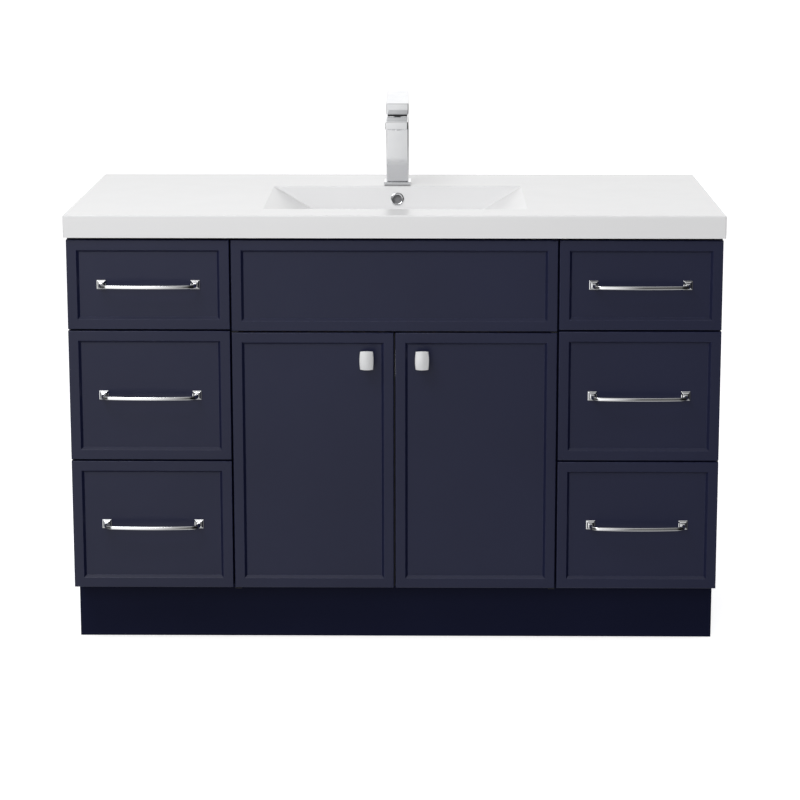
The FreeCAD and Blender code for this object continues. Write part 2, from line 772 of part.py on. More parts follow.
def faucet():
    """A square column with a flat spout, its plate, cartridge, spray insert and fixing."""
    centre = ("0", "faucet_y")
    plate = centred_box("base_plate", "faucet_y - base_plate / 2", "base_plate",
                        "deck_height", "base_plate_thick")
    plate_hole = cylinder((*centre, "deck_height"), "shank_radius + drain_play", "base_plate_thick")
    node(cut(plate, plate_hole), "faucet_base_plate")
    foot_z = "deck_height + base_plate_thick"
    column = centred_box("faucet_width", "faucet_y - faucet_half", "faucet_width", foot_z,
                         "faucet_height - base_plate_thick")
    spout = centred_box("faucet_width", "faucet_y - spout_reach", "spout_reach", "spout_z", "spout_thick")
    cartridge_hole = cylinder((*centre, "cartridge_z"), "cartridge_radius + pin_play", "cartridge_length")
    shank_hole = cylinder((*centre, foot_z), "shank_radius", "shank_entry")
    spray_y = "faucet_y - spout_reach + aerator_inset"
    spray_hole = cylinder(("0", spray_y, "spout_z"), "aerator_radius", "aerator_depth")
    node(cut(fuse(column, spout), cartridge_hole, shank_hole, spray_hole), "faucet_body")
    insert = cylinder(("0", spray_y, "spout_z - aerator_drop"), "aerator_radius",
                      "aerator_depth + aerator_drop")
    mouth = cylinder(("0", spray_y, "spout_z - aerator_drop"), "aerator_radius - aerator_wall",
                     "aerator_drop + aerator_wall")
    node(cut(insert, mouth), "faucet_aerator")
    spindle_hole = cylinder((*centre, "faucet_top - spindle_depth"), "spindle_radius + pin_play",
                            "spindle_depth")
    node(cut(cylinder((*centre, "cartridge_z"), "cartridge_radius", "cartridge_length"), spindle_hole),
         "faucet_cartridge")
    shank = tube((*centre, "case_top - shank_tail"), "shank_radius", "shank_bore",
                 "shank_tail + counter_edge + base_plate_thick + shank_entry")
    nut = tube((*centre, "case_top - nut_thick"), "shank_radius + nut_wall", "shank_radius", "nut_thick")
    node(compound(shank, nut), "faucet_fixing")


def cartridge_spindle():
    """The turning spindle: a round shaft with a flat head that the lever's pin passes through."""
    shaft = cylinder(("0", "faucet_y", "faucet_top - spindle_depth"), "spindle_radius",
                     "spindle_depth + lever_gap")
    head = centred_box("spindle_head", "faucet_y - spindle_head / 2", "spindle_head",
                       "faucet_top + lever_gap", "lever_pin_lift + spindle_above_pin")
    pin_hole = cylinder(("-spindle_head / 2", "faucet_y", "lever_pin_z"), "lever_pin_radius + pin_play",
                        "spindle_head", "x")
    node(cut(fuse(shaft, head), pin_hole), "cartridge_spindle")


def faucet_lever():
    """A square cap that grows into a paddle rising to the back, hung on a cross pin."""
    body = document.addObject("PartDesign::Body", "Body")
    place(body, ("0", "faucet_y", "lever_z"))
    outline = sketch_on(body, "YZ_Plane")
    back = "lever_length - faucet_half"
    slope = "lever_rise / lever_length"
    half, front, rise = value("faucet_half"), value("lever_front"), value("lever_rise")
    end = value("lever_length") - half
    guide = [(-half, 0), (2, 0), (half, 7), (half, front), (end, front + rise - 8), (end, front + rise),
             (-half, front)]
    points = [
        ("-faucet_half", "0"),
        ("lever_pin_radius", "0"),
        ("faucet_half", "lever_undercut"),
        ("faucet_half", f"lever_front + {slope} * faucet_width - lever_thick"),
        (back, "lever_front + lever_rise - lever_thick"),
        (back, "lever_front + lever_rise"),
        ("-faucet_half", "lever_front"),
    ]
    draw_polygon(outline, guide, points)
    body.Tip = extrude(body, "Pad", outline, "faucet_width", midplane=True)
    room = "faucet_width - 2 * lever_wall"
    hollow = centred_box(room, "faucet_y - faucet_half + lever_wall", room, "lever_z",
                         "lever_front - lever_ceiling")
    cross_pin = cylinder(("(lever_wall - faucet_width) / 2", "faucet_y", "lever_pin_z"), "lever_pin_radius",
                         "faucet_width - lever_wall", "x")
    node(fuse(cut(body, hollow), cross_pin), "faucet_lever")


def export():
    """Check every object, then write each sub-part to its own file."""
    document.recompute()
    for item in document.Objects:
        if {"Invalid", "Error"} & set(item.State):
            raise RuntimeError(f"{item.Name} ({item.Label}) failed: {item.State}")
    for item in nodes:
        if item.Shape.isNull() or not item.Shape.isValid():
            raise RuntimeError(item.Label + " has no valid shape")
    os.makedirs("parts", exist_ok=True)
    for item in nodes:
        item.Shape.exportStep(f"parts/{item.Label}.step")


case()
drawers()
doors()
door_pivots()
countertop()
overflow_ring()
waste()
faucet()
cartridge_spindle()
faucet_lever()
export()
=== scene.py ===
import math
import random

import bmesh
import bpy
from mathutils import Matrix, Vector


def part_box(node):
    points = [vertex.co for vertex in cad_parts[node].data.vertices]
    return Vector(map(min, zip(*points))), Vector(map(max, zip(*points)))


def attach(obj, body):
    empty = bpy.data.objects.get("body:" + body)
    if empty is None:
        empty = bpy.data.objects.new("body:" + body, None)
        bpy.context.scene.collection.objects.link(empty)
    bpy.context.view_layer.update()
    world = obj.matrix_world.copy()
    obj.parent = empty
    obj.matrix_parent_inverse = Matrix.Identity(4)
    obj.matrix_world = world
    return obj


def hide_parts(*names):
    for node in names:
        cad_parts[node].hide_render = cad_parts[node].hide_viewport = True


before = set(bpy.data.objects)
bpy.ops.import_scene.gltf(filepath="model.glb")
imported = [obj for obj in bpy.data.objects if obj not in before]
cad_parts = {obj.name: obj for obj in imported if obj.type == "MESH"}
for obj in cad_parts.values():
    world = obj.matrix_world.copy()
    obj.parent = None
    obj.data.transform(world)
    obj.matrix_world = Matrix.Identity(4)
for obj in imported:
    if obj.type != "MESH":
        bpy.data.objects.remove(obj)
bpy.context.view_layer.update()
random.seed(11)

MM = 0.001
UP, BACK = (0, 0, 1), (0, 1, 0)
SIDES = ("left", "right")
ROWS = ("top", "middle", "bottom")
TOUCH = 1e-5  # how near to a plane a point must be to count as on it
THIN_FACE = 0.0012  # faces narrower than this are edges, which the paint shows paler, as wear and as a painted highlight
PULL_SCREW, FRONT_SCREW, PANEL_SCREW = 4.3 * MM, 3.3 * MM, 3.4 * MM  # radii of screw heads
BUMPER_THICK = 2.2 * MM


# Numbers and places

def mm(*pairs):
    """Pairs of millimetres as pairs of metres."""
    return [(first * MM, second * MM) for first, second in pairs]


def angles(count):
    """Evenly spaced angles around a circle."""
    return [math.tau * i / count for i in range(count)]


def middle_of(node):
    """The middle of a node's box."""
    low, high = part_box(node)
    return [(a + b) / 2 for a, b in zip(low, high)]


# Materials

class Shader:
    """A Principled material whose node tree is built with a few short calls."""

    def __init__(self, name, **constants):
        self.material = bpy.data.materials.new(name)
        self.material.use_nodes = True
        self.tree = self.material.node_tree
        self.main = self.tree.nodes["Principled BSDF"]
        self.coords = self.tree.nodes.new("ShaderNodeTexCoord").outputs["Object"]
        for socket, value in constants.items():
            self.main.inputs[socket.replace("_", " ")].default_value = value

    def link(self, source, target):
        self.tree.links.new(source, target)

    def stretched(self, scale):
        item = self.tree.nodes.new("ShaderNodeMapping")
        item.inputs["Scale"].default_value = scale
        self.link(self.coords, item.inputs["Vector"])
        return item.outputs["Vector"]

    def noise(self, scale, vector=None, detail=3.0, roughness=0.5, distortion=0.0):
        item = self.tree.nodes.new("ShaderNodeTexNoise")
        item.inputs["Scale"].default_value = scale
        item.inputs["Detail"].default_value = detail
        item.inputs["Roughness"].default_value = roughness
        item.inputs["Distortion"].default_value = distortion
        self.link(vector or self.coords, item.inputs["Vector"])
        return item.outputs["Fac"]

    def cells(self, scale, vector=None):
        item = self.tree.nodes.new("ShaderNodeTexVoronoi")
        item.inputs["Scale"].default_value = scale
        self.link(vector or self.coords, item.inputs["Vector"])
        return item.outputs

    def ramp(self, source, *stops):
        """Colour or grey value against a source from 0 to 1; each stop is (position, value)."""
        item = self.tree.nodes.new("ShaderNodeValToRGB")
        elements = item.color_ramp.elements
        while len(elements) < len(stops):
            elements.new(0.5)
        for element, (position, value) in zip(elements, stops):
            element.position = position
            element.color = (*value, 1) if isinstance(value, tuple) else (value, value, value, 1)
        self.link(source, item.inputs["Fac"])
        return item.outputs["Color"]

    def maths(self, operation, first, second):
        item = self.tree.nodes.new("ShaderNodeMath")
        item.operation = operation
        for socket, value in zip(item.inputs, (first, second)):
            if isinstance(value, (int, float)):
                socket.default_value = value
            else:
                self.link(value, socket)
        return item.outputs[0]

    def mix(self, factor, first, second, blend="MIX"):
        item = self.tree.nodes.new("ShaderNodeMix")
        item.data_type = "RGBA"
        item.blend_type = blend
        for index, value in ((0, factor), (6, first), (7, second)):
            if isinstance(value, tuple):
                item.inputs[index].default_value = (*value, 1)
            elif isinstance(value, (int, float)):
                item.inputs[index].default_value = value
            else:
                self.link(value, item.inputs[index])
        return item.outputs[2]

    def attribute(self, name):
        item = self.tree.nodes.new("ShaderNodeAttribute")
        item.attribute_name = name
        return item.outputs["Fac"]

    def bump(self, height, distance, strength=1.0, under=None):
        item = self.tree.nodes.new("ShaderNodeBump")
        item.inputs["Distance"].default_value = distance
        item.inputs["Strength"].default_value = strength
        self.link(height, item.inputs["Height"])
        if under is not None:
            self.link(under, item.inputs["Normal"])
        return item.outputs["Normal"]

    def feed(self, **sources):
        for socket, source in sources.items():
            self.link(source, self.main.inputs[socket.replace("_", " ")])
        return self.material


def satin_paint(name, deep, pale, specular):
    """Sprayed cabinet paint: slight clouding, orange peel, and edges painted paler, partly as rubbed wear and
    partly as a painted highlight.
    """
    s = Shader(name, Specular_IOR_Level=specular)
    cloud = s.noise(3.5, detail=4)
    body = s.ramp(cloud, (0.3, deep), (0.72, pale))
    # painted highlight: thin edge faces are lightened to a paler navy in patches, partly wear and partly
    # light caught on the edges
    rub_and_sheen_patches = s.ramp(s.noise(160, detail=5), (0.42, 0.0), (0.62, 1.0))
    worn_and_lit_edges = s.maths("MULTIPLY", s.attribute("edge"), s.maths("MULTIPLY", rub_and_sheen_patches, 0.35))
    colour = s.mix(worn_and_lit_edges, body, tuple(1.9 * c + 0.012 for c in pale))
    gloss = s.ramp(s.noise(24, detail=5), (0.3, 0.375), (0.7, 0.405))
    peel = s.bump(s.noise(520, detail=1), 0.00012, 0.22)
    peel = s.bump(s.noise(60, detail=2), 0.0003, 0.05, peel)
    return s.feed(Base_Color=colour, Roughness=gloss, Normal=peel)


def cast_acrylic(name):
    """Polished cast solid surface: almost white, faintly mottled, under a clear gloss."""
    s = Shader(name, IOR=1.49, Coat_Weight=0.12, Coat_Roughness=0.12)
    mottle = s.ramp(s.noise(6, detail=3), (0.3, (0.862, 0.862, 0.869)),
                    (0.7, (0.870, 0.870, 0.877)))
    gloss = s.ramp(s.noise(12, detail=2), (0.35, 0.252), (0.7, 0.270))
    wave = s.bump(s.noise(6, detail=1), 0.0002, 0.003)
    return s.feed(Base_Color=mottle, Roughness=gloss, Normal=wave)


def chrome(name):
    """Bright plating: a mirror with faint handling haze and fine polishing lines."""
    s = Shader(name, Metallic=1.0)
    tint = s.ramp(s.noise(30, detail=4), (0.3, (0.83, 0.84, 0.86)), (0.7, (0.89, 0.895, 0.905)))
    haze = s.ramp(s.noise(120, detail=6, distortion=0.4), (0.35, 0.035), (0.75, 0.10))
    lines = s.noise(1, s.stretched((140, 3200, 3200)), detail=2)
    return s.feed(Base_Color=tint, Roughness=haze, Normal=s.bump(lines, 0.00002, 0.08))


def brushed(name, deep, pale, rough, along, metallic=1.0):
    """Satin metal: fine brushing lines along one axis."""
    s = Shader(name, Metallic=metallic, Anisotropic=0.35)
    lines = s.noise(1, s.stretched(along), detail=4)
    tint = s.ramp(lines, (0.3, deep), (0.7, pale))
    haze = s.ramp(s.noise(70, detail=5), (0.3, rough - 0.05), (0.7, rough + 0.07))
    return s.feed(Base_Color=tint, Roughness=haze, Normal=s.bump(lines, 0.00004, 0.25))


def zinc(name):
    """Zinc-plated steel with its crystal spangle and rolling marks."""
    s = Shader(name, Metallic=1.0)
    grains = s.cells(210)["Color"]
    tone = s.tree.nodes.new("ShaderNodeRGBToBW")
    s.link(grains, tone.inputs[0])
    grey = s.ramp(tone.outputs[0], (0.2, (0.46, 0.48, 0.50)), (0.8, (0.60, 0.62, 0.64)))
    rough = s.ramp(s.noise(45, detail=6), (0.3, 0.27), (0.7, 0.42))
    rolled = s.noise(1, s.stretched((1500, 20, 1500)), detail=3)
    return s.feed(Base_Color=grey, Roughness=rough, Normal=s.bump(rolled, 0.00005, 0.25))


def plastic(name, deep, pale, rough, grain=700):
    """Moulded plastic or rubber with a fine grained skin."""
    s = Shader(name, IOR=1.47)
    tint = s.ramp(s.noise(55, detail=5), (0.3, deep), (0.7, pale))
    skin = s.ramp(s.noise(35, detail=4), (0.3, rough - 0.06), (0.7, rough + 0.08))
    relief = s.bump(s.noise(grain, detail=2), 0.0001, 0.3)
    return s.feed(Base_Color=tint, Roughness=skin, Normal=relief)


def wood(name, grain, deep, pale, gloss=0.42):
    """Lacquered veneer: growth bands and pores drawn out along the grain axis (0, 1 or 2)."""
    s = Shader(name, IOR=1.5, Coat_Weight=0.15, Coat_Roughness=0.25)
    wide = tuple(1.1 if axis == grain else 11.0 for axis in range(3))
    fine = tuple(16.0 if axis == grain else 640.0 for axis in range(3))
    band = s.noise(1.0, s.stretched(wide), detail=7, roughness=0.62, distortion=1.3)
    body = s.ramp(band, (0.28, deep), (0.48, pale), (0.56, tuple(0.9 * c for c in pale)), (0.74, pale))
    pores = s.noise(1.0, s.stretched(fine), detail=3, roughness=0.7)
    flecks = s.ramp(pores, (0.34, 0.68), (0.52, 1.0))
    colour = s.mix(0.8, body, flecks, "MULTIPLY")
    rough = s.ramp(pores, (0.3, gloss + 0.12), (0.6, gloss))
    return s.feed(Base_Color=colour, Roughness=rough, Normal=s.bump(pores, 0.00012, 0.3))


def pale_floor(name):
    """A matt, almost white floor that glows enough to look evenly lit."""
    s = Shader(name, Specular_IOR_Level=0.1)
    tone = s.ramp(s.noise(2.0, detail=2), (0.3, (0.93, 0.93, 0.935)), (0.7, (0.95, 0.95, 0.955)))
    s.main.inputs["Emission Strength"].default_value = 0.64
    rough = s.ramp(s.noise(8, detail=3), (0.3, 0.7), (0.7, 0.8))
    return s.feed(Base_Color=tone, Emission_Color=tone, Roughness=rough)


PAINT = satin_paint("navy_satin_paint", (0.0088, 0.0112, 0.0385), (0.0108, 0.0136, 0.0445), 0.47)
# painted shade: a darker, less glossy copy of the navy paint for the recessed toe kick and for board edges
# deep in the gaps
SHADE_PAINT = satin_paint("toe_kick_painted_shade", (0.0066, 0.0082, 0.0255), (0.0082, 0.0100, 0.0300), 0.06)
ACRYLIC = cast_acrylic("white_cast_acrylic")
CHROME = chrome("polished_chrome")
NICKEL = brushed("satin_nickel", (0.86, 0.865, 0.88), (0.93, 0.935, 0.95), 0.42, (2400, 60, 60), 0.4)
ZINC = zinc("zinc_plate")
BRASS = brushed("satin_brass", (0.62, 0.45, 0.20), (0.78, 0.60, 0.30), 0.32, (2000, 2000, 60))
BLACK_STEEL = brushed("black_oxide_steel", (0.035, 0.035, 0.038), (0.060, 0.060, 0.064), 0.45, (40, 900, 900))
DARK = plastic("dark_plastic", (0.018, 0.018, 0.020), (0.034, 0.034, 0.037), 0.48)
RUBBER = plastic("black_rubber", (0.010, 0.010, 0.011), (0.020, 0.020, 0.021), 0.66, 1100)
THROAT = plastic("grey_overflow_throat", (0.16, 0.16, 0.165), (0.24, 0.24, 0.25), 0.5)
BUMPER = plastic("clear_grey_bumper", (0.50, 0.51, 0.52), (0.62, 0.63, 0.64), 0.36)
MAPLE = {axis: wood(f"maple_grain_{'xyz'[axis]}", axis, (0.52, 0.36, 0.20), (0.70, 0.53, 0.34))
         for axis in (0, 1)}
BOARD = {axis: wood(f"veneered_board_{'xyz'[axis]}", axis, (0.47, 0.34, 0.20), (0.64, 0.49, 0.32), 0.5)
         for axis in (0, 2)}
FLOOR = pale_floor("studio_floor")


# Mesh helpers

def to_mesh(name, bm):
    bmesh.ops.recalc_face_normals(bm, faces=bm.faces)
    mesh = bpy.data.meshes.new(name)
    bm.to_mesh(mesh)
    bm.free()
    return mesh


def finish_mesh(name, bm, material, body, replaces=(), sharp=32, extra=()):
    """Turn mesh code into a shaded piece that rides on a CAD body."""
    finish_piece(name, to_mesh(name, bm), material, body, replaces, sharp, extra)


def finish_piece(name, mesh, material, body, replaces=(), sharp=32, extra=()):
    """Shade a mesh, mark its thin faces as edges that the paint shows paler (wear and a painted highlight),
    and let it ride on a CAD body.
    """
    # the edge mask: thin faces that the paint lightens, as wear and as a painted highlight
    edge = mesh.attributes.new("edge", "FLOAT", "FACE")
    lengths = [min((mesh.vertices[a].co - mesh.vertices[b].co).length for a, b in face.edge_keys)
               for face in mesh.polygons]
    edge.data.foreach_set("value", [1.0 if length < THIN_FACE else 0.0 for length in lengths])
    mesh.polygons.foreach_set("use_smooth", [True] * len(mesh.polygons))
    mesh.set_sharp_from_angle(angle=math.radians(sharp))
    for item in (material, *extra):
        mesh.materials.append(item)
    piece = bpy.data.objects.new(name, mesh)
    bpy.context.scene.collection.objects.link(piece)
    weighted = piece.modifiers.new("flat_faces", "WEIGHTED_NORMAL")
    weighted.keep_sharp = True
    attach(piece, body)
    if replaces:
        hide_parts(*replaces)


def loop_ring(bm, rings, ends="capped"):
    """Skin a list of rings of points, each with the same count. The first and the last ring are
    capped, or joined to each other, or only the last is capped when the ends are open."""
    made = [[bm.verts.new(point) for point in ring] for ring in rings]
    count = len(made[0])
    after = made[1:] + made[:1] if ends == "joined" else made[1:]
    for near, far in zip(made, after):
        for i in range(count):
            j = (i + 1) % count
            bm.faces.new((near[i], near[j], far[j], far[i]))
    if ends == "capped":
        bm.faces.new(made[0])
    if ends != "joined":
        bm.faces.new(made[-1])


def ease(bm, faces, width, segments, chosen=None):
    """Round the edges of some faces, all of them or those that pass a test."""
    edges = {edge for face in faces for edge in face.edges}
    edges = [edge for edge in edges if chosen is None or chosen(edge)]
    bmesh.ops.bevel(bm, geom=edges, offset=width, offset_type="OFFSET", segments=segments,
                    profile=0.5, affect="EDGES", clamp_overlap=True)


def add_board(bm, low, high, width=0.8 * MM, segments=2, chosen=None):
    """A board between two corners with eased edges."""
    low, high = Vector(low), Vector(high)
    points = [bm.verts.new((x, y, z)) for z in (low.z, high.z) for y in (low.y, high.y)
              for x in (low.x, high.x)]
    quads = ((0, 2, 3, 1), (4, 5, 7, 6), (0, 1, 5, 4), (2, 6, 7, 3), (0, 4, 6, 2), (1, 3, 7, 5))
    faces = [bm.faces.new([points[i] for i in quad]) for quad in quads]
    if width:
        ease(bm, faces, width, segments, chosen)


def lathe(bm, base, axis, profile, segments):
    """A turned form: profile is a list of (radius, height) in metres along the axis from the base.
    A profile that ends where it starts makes a hollow form."""
    turn = Vector(axis).normalized().to_track_quat("Z", "Y").to_matrix()
    hollow = math.dist(profile[0], profile[-1]) < 1e-7
    rings = []
    for radius, height in (profile[:-1] if hollow else profile):
        rings.append([Vector(base) + turn @ Vector((radius * math.cos(a), radius * math.sin(a), height))
                      for a in angles(segments)])
    loop_ring(bm, rings, "joined" if hollow else "capped")


def turned(name, base, profile, segments, material, replaces=(), sharp=32, body="cabinet", axis=UP):
    """A piece that is one turned form."""
    bm = bmesh.new()
    lathe(bm, base, axis, profile, segments)
    finish_mesh(name, bm, material, body, replaces, sharp)


def extrude_outline(bm, outline, axis, start, end):
    """A prism: outline points are given as pairs in the two other axes, in order."""
    def place(pair, along):
        point = list(pair)
        point.insert(axis, along)
        return point
    loop_ring(bm, [[place(pair, start) for pair in outline], [place(pair, end) for pair in outline]])


def cad_copy(node, width, segments, material, body, chosen=None):
    """A CAD node's own shape with its sharp edges rounded."""
    bm = bmesh.new()
    bm.from_mesh(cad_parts[node].data)
    bmesh.ops.remove_doubles(bm, verts=bm.verts, dist=1e-6)
    bmesh.ops.dissolve_limit(bm, angle_limit=math.radians(1), verts=bm.verts, edges=bm.edges)
    edges = [edge for edge in bm.edges
             if len(edge.link_faces) == 2 and edge.calc_face_angle(0) > math.radians(25)
             and (chosen is None or chosen(edge))]
    bmesh.ops.bevel(bm, geom=edges, offset=width, offset_type="OFFSET", segments=segments,
                    profile=0.5, affect="EDGES", clamp_overlap=True)
    finish_mesh(node + "_piece", bm, material, body, (node,))


def boolean(piece, tool, operation):
    """Apply a boolean to a loose object's mesh and discard the tool."""
    step = piece.modifiers.new("step", "BOOLEAN")
    step.operation = operation
    step.solver = "EXACT"
    step.object = tool
    bpy.context.view_layer.update()
    shown = piece.evaluated_get(bpy.context.evaluated_depsgraph_get())
    result = bpy.data.meshes.new_from_object(shown)
    piece.modifiers.remove(step)
    piece.data = result
    bpy.data.objects.remove(tool)


def loose(bm):
    """Mesh code as an object of its own, for a boolean."""
    item = bpy.data.objects.new("loose", to_mesh("loose", bm))
    bpy.context.scene.collection.objects.link(item)
    return item


def screw_head(bm, at, radius):
    """A pan head with a cross recess, facing back."""
    head = ((1, 0), (0.98, 0.22), (0.86, 0.42), (0.62, 0.52), (0.3, 0.56), (0.02, 0.57))
    lathe(bm, at, BACK, [(radius * out, radius * up) for out, up in head], 20)
    turn = Vector(BACK).to_track_quat("Z", "Y").to_matrix()
    spin = Matrix.Rotation(random.uniform(0, math.pi), 3, "Z")
    for long, wide in ((0.55, 0.13), (0.13, 0.55)):
        before = set(bm.faces)
        corners = [(-long, -wide), (long, -wide), (long, wide), (-long, wide)]
        loop_ring(bm, [[Vector(at) + turn @ spin @ Vector((x * radius, y * radius, h * radius))
                        for x, y in corners] for h in (0.3, 0.585)])
        for face in set(bm.faces) - before:
            face.material_index = 1


def screws(name, body, spots):
    """One piece with a screw head on each spot, which is a place and the head's radius."""
    bm = bmesh.new()
    for at, radius in spots:
        screw_head(bm, at, radius)
    finish_mesh(name, bm, ZINC, body, extra=(DARK,))


# Cabinet case

def panels():
    """The boards of the case with eased edges. Those inside have a front edge in the darker painted-shade
    copy of the navy paint, standing in for the shade in the gaps.
    """
    flat = {
        "left_divider": BOARD[2], "right_divider": BOARD[2], "bottom_panel": BOARD[0],
        "sink_front_rail": BOARD[0],
    }
    for node, material in flat.items():
        bm = bmesh.new()
        add_board(bm, *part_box(node), 0.7 * MM, 2)
        # front edges, seen through the gaps, get the painted shade
        for face in bm.faces:
            if face.calc_center_median().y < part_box(node)[0].y + 0.5 * MM:
                face.material_index = 1
        finish_mesh(node + "_piece", bm, material, "cabinet", (node,),
                    extra=(SHADE_PAINT,))
    # the toe kick gets the painted shade, darkened for its recess under the overhang
    bm = bmesh.new()
    add_board(bm, *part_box("toe_kick"), 0.8 * MM, 2)
    finish_mesh("toe_kick_piece", bm, SHADE_PAINT, "cabinet", ("toe_kick",))
    for node in ("left_side_panel", "right_side_panel"):
        cad_copy(node, 1.2 * MM, 3, PAINT, "cabinet")
    cad_copy("back_panel", 0.5 * MM, 2, BOARD[0], "cabinet")
    cad_copy("hanging_rail", 0.6 * MM, 2, BOARD[0], "cabinet")


def back_screws():
    """The screws in the back panel: a row along its lower edge and one up each side."""
    low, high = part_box("back_panel")
    inset = 9 * MM
    width, height = high.x - low.x - 2 * inset, high.z - low.z - 2 * inset
    spots = [(low.x + inset + width * k / 8, low.z + inset) for k in range(9)]
    for k in range(4):
        z = low.z + inset + height * (k + 1) / 4.4
        spots += [(low.x + inset, z), (high.x - inset, z)]
    screws("back_panel_screws", "cabinet", [((x, high.y, z), PANEL_SCREW) for x, z in spots])


# Fronts

FRAME, BEVEL, DEPTH, EASE = 18.5 * MM, 4.5 * MM, 5.5 * MM, 1.5 * MM  # of a shaker front


def front_profile(thick):
    """Inset from the outline and distance back from the face, from the back edge to the field."""
    profile = [(0.6 * MM, thick), (0.18 * MM, thick - 0.18 * MM), (0, thick - 0.6 * MM)]
    for k in range(5):
        a = math.radians(90 * k / 4)
        profile.append((EASE * (1 - math.cos(a)), EASE * (1 - math.sin(a))))
    small = 0.55 * MM
    profile += [(FRAME - small, 0), (FRAME - 0.1 * MM, 0.06 * MM),
                (FRAME + small * BEVEL / DEPTH, small)]
    end = FRAME + BEVEL
    profile += [(end - small * BEVEL / DEPTH, DEPTH - small), (end - 0.05 * MM, DEPTH - 0.12 * MM),
                (end + small, DEPTH)]
    return profile


def framed_front(node, body):
    """A shaker front: flat frame, bevel, recessed field; the back is flat."""
    low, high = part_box(node)
    bm = bmesh.new()
    rings = []
    for inset, back in front_profile(high.y - low.y):
        rings.append([(x, low.y + back, z) for x, z in (
            (low.x + inset, low.z + inset), (high.x - inset, low.z + inset),
            (high.x - inset, high.z - inset), (low.x + inset, high.z - inset))])
    loop_ring(bm, rings)
    finish_mesh(node + "_piece", bm, PAINT, body, (node,))


def gap_shade_strip():
    """A black rubber strip on the left door's free edge that closes most of the gap between the doors, a dark
    sheet that stands in for the shade deep in the gap.
    """
    low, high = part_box("left_door")
    bm = bmesh.new()
    # painted shade: the black strip darkens the gap between the doors
    add_board(bm, (high.x - 0.2 * MM, low.y + 6 * MM, low.z + 2 * MM),
              (high.x + 2.9 * MM, high.y - 2 * MM, high.z - 2 * MM), 0.5 * MM, 2)
    finish_mesh("left_door_gap_shade_strip", bm, RUBBER, "left_door_leaf")


def bumpers(name, body, spots, facing):
    """Small domed buffers that the fronts close against."""
    outline = ((3.2, 0), (3.2, 0.6), (2.7, 0.88), (1.5, 1), (0.05, 1))
    profile = [(radius * MM, BUMPER_THICK * up) for radius, up in outline]
    bm = bmesh.new()
    for spot in spots:
        lathe(bm, spot, (0, facing, 0), profile, 20)
    finish_mesh(name, bm, BUMPER, body)


# Pulls and knobs

PULL_FOOT = 8.75 * MM  # half the width of a pull's square foot
BEND_STEPS, BAR_STEPS = 11, 12


def pull_path(middle, y, half_span, reach):
    """Centreline of a pull from one foot, out, along the bowed bar and back to the other foot."""
    start, out = -4 * MM, -(reach - 2.5 * MM)
    bow = 6 * MM
    span = half_span + PULL_FOOT
    half = []
    for k in range(4):
        half.append((-half_span, start - 2.6 * MM * k))
    joint = -half_span + 15 * MM
    joint_y = out + bow * (joint / span) ** 2
    slope = 2 * bow * joint / span ** 2
    p0, p3 = Vector((-half_span, half[-1][1])), Vector((joint, joint_y))
    p1 = p0 + Vector((0, -1)) * 9.5 * MM
    p2 = p3 - Vector((1, slope)).normalized() * 9.5 * MM
    for k in range(1, BEND_STEPS + 1):
        t = k / BEND_STEPS
        point = (1 - t) ** 3 * p0 + 3 * t * (1 - t) ** 2 * p1 + 3 * t * t * (1 - t) * p2 + t ** 3 * p3
        half.append((point.x, point.y))
    for k in range(1, BAR_STEPS + 1):
        x = joint * (1 - k / BAR_STEPS)
        half.append((x, out + bow * (x / span) ** 2))
    whole = half + [(-x, d) for x, d in reversed(half[:-1])]
    return [Vector((middle + x, y + d, 0)) for x, d in whole]


def section(half_wide, half_high, rounding, steps=4):
    """A rounded rectangle as (across, up) pairs."""
    points = []
    for quarter in range(4):
        cx = (half_wide - rounding) * (1, -1, -1, 1)[quarter]
        cz = (half_high - rounding) * (1, 1, -1, -1)[quarter]
        for k in range(steps + 1):
            a = math.radians(90 * quarter + 90 * k / steps)
            points.append((cx + rounding * math.cos(a), cz + rounding * math.sin(a)))
    return points


def square_foot(bm, x, y, z):
    """A stepped square foot: a flat plinth, a cove, and the neck's collar."""
    steps = mm((8.75, 0), (8.75, 1.5), (8.3, 2.0), (7.2, 2.1), (6.9, 2.3), (6.3, 3.4), (5.4, 4.0), (3.9, 4.5))
    rings = []
    for half, out in steps:
        rings.append([Vector((x + across, y - out, z + up))
                      for across, up in section(half, half, 0.45 * MM, 3)])
    loop_ring(bm, rings)


def pull(node, body):
    """A bowed bar that flares into two square stepped feet."""
    low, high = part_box(node)
    middle, _, z = middle_of(node)
    half_span = (high.x - low.x) / 2 - PULL_FOOT
    path = pull_path(middle, high.y, half_span, high.y - low.y)
    bm = bmesh.new()
    rings = []
    for index, point in enumerate(path):
        before = path[max(index - 1, 0)]
        after = path[min(index + 1, len(path) - 1)]
        tangent = (after - before).normalized()
        normal = Vector((tangent.y, -tangent.x, 0))
        from_foot = min(index, len(path) - 1 - index)
        flare = max(0.0, 1 - from_foot / BEND_STEPS) ** 1.6
        half_wide = (2.5 + 1.1 * flare) * MM
        half_high = (3.25 + 0.7 * flare) * MM
        rings.append([point + normal * across + Vector((0, 0, z + up))
                      for across, up in section(half_wide, half_high, 1.5 * MM)])
    loop_ring(bm, rings)
    for x in (middle - half_span, middle + half_span):
        square_foot(bm, x, high.y, z)
    finish_mesh(node + "_piece", bm, CHROME, body, (node,), 28)


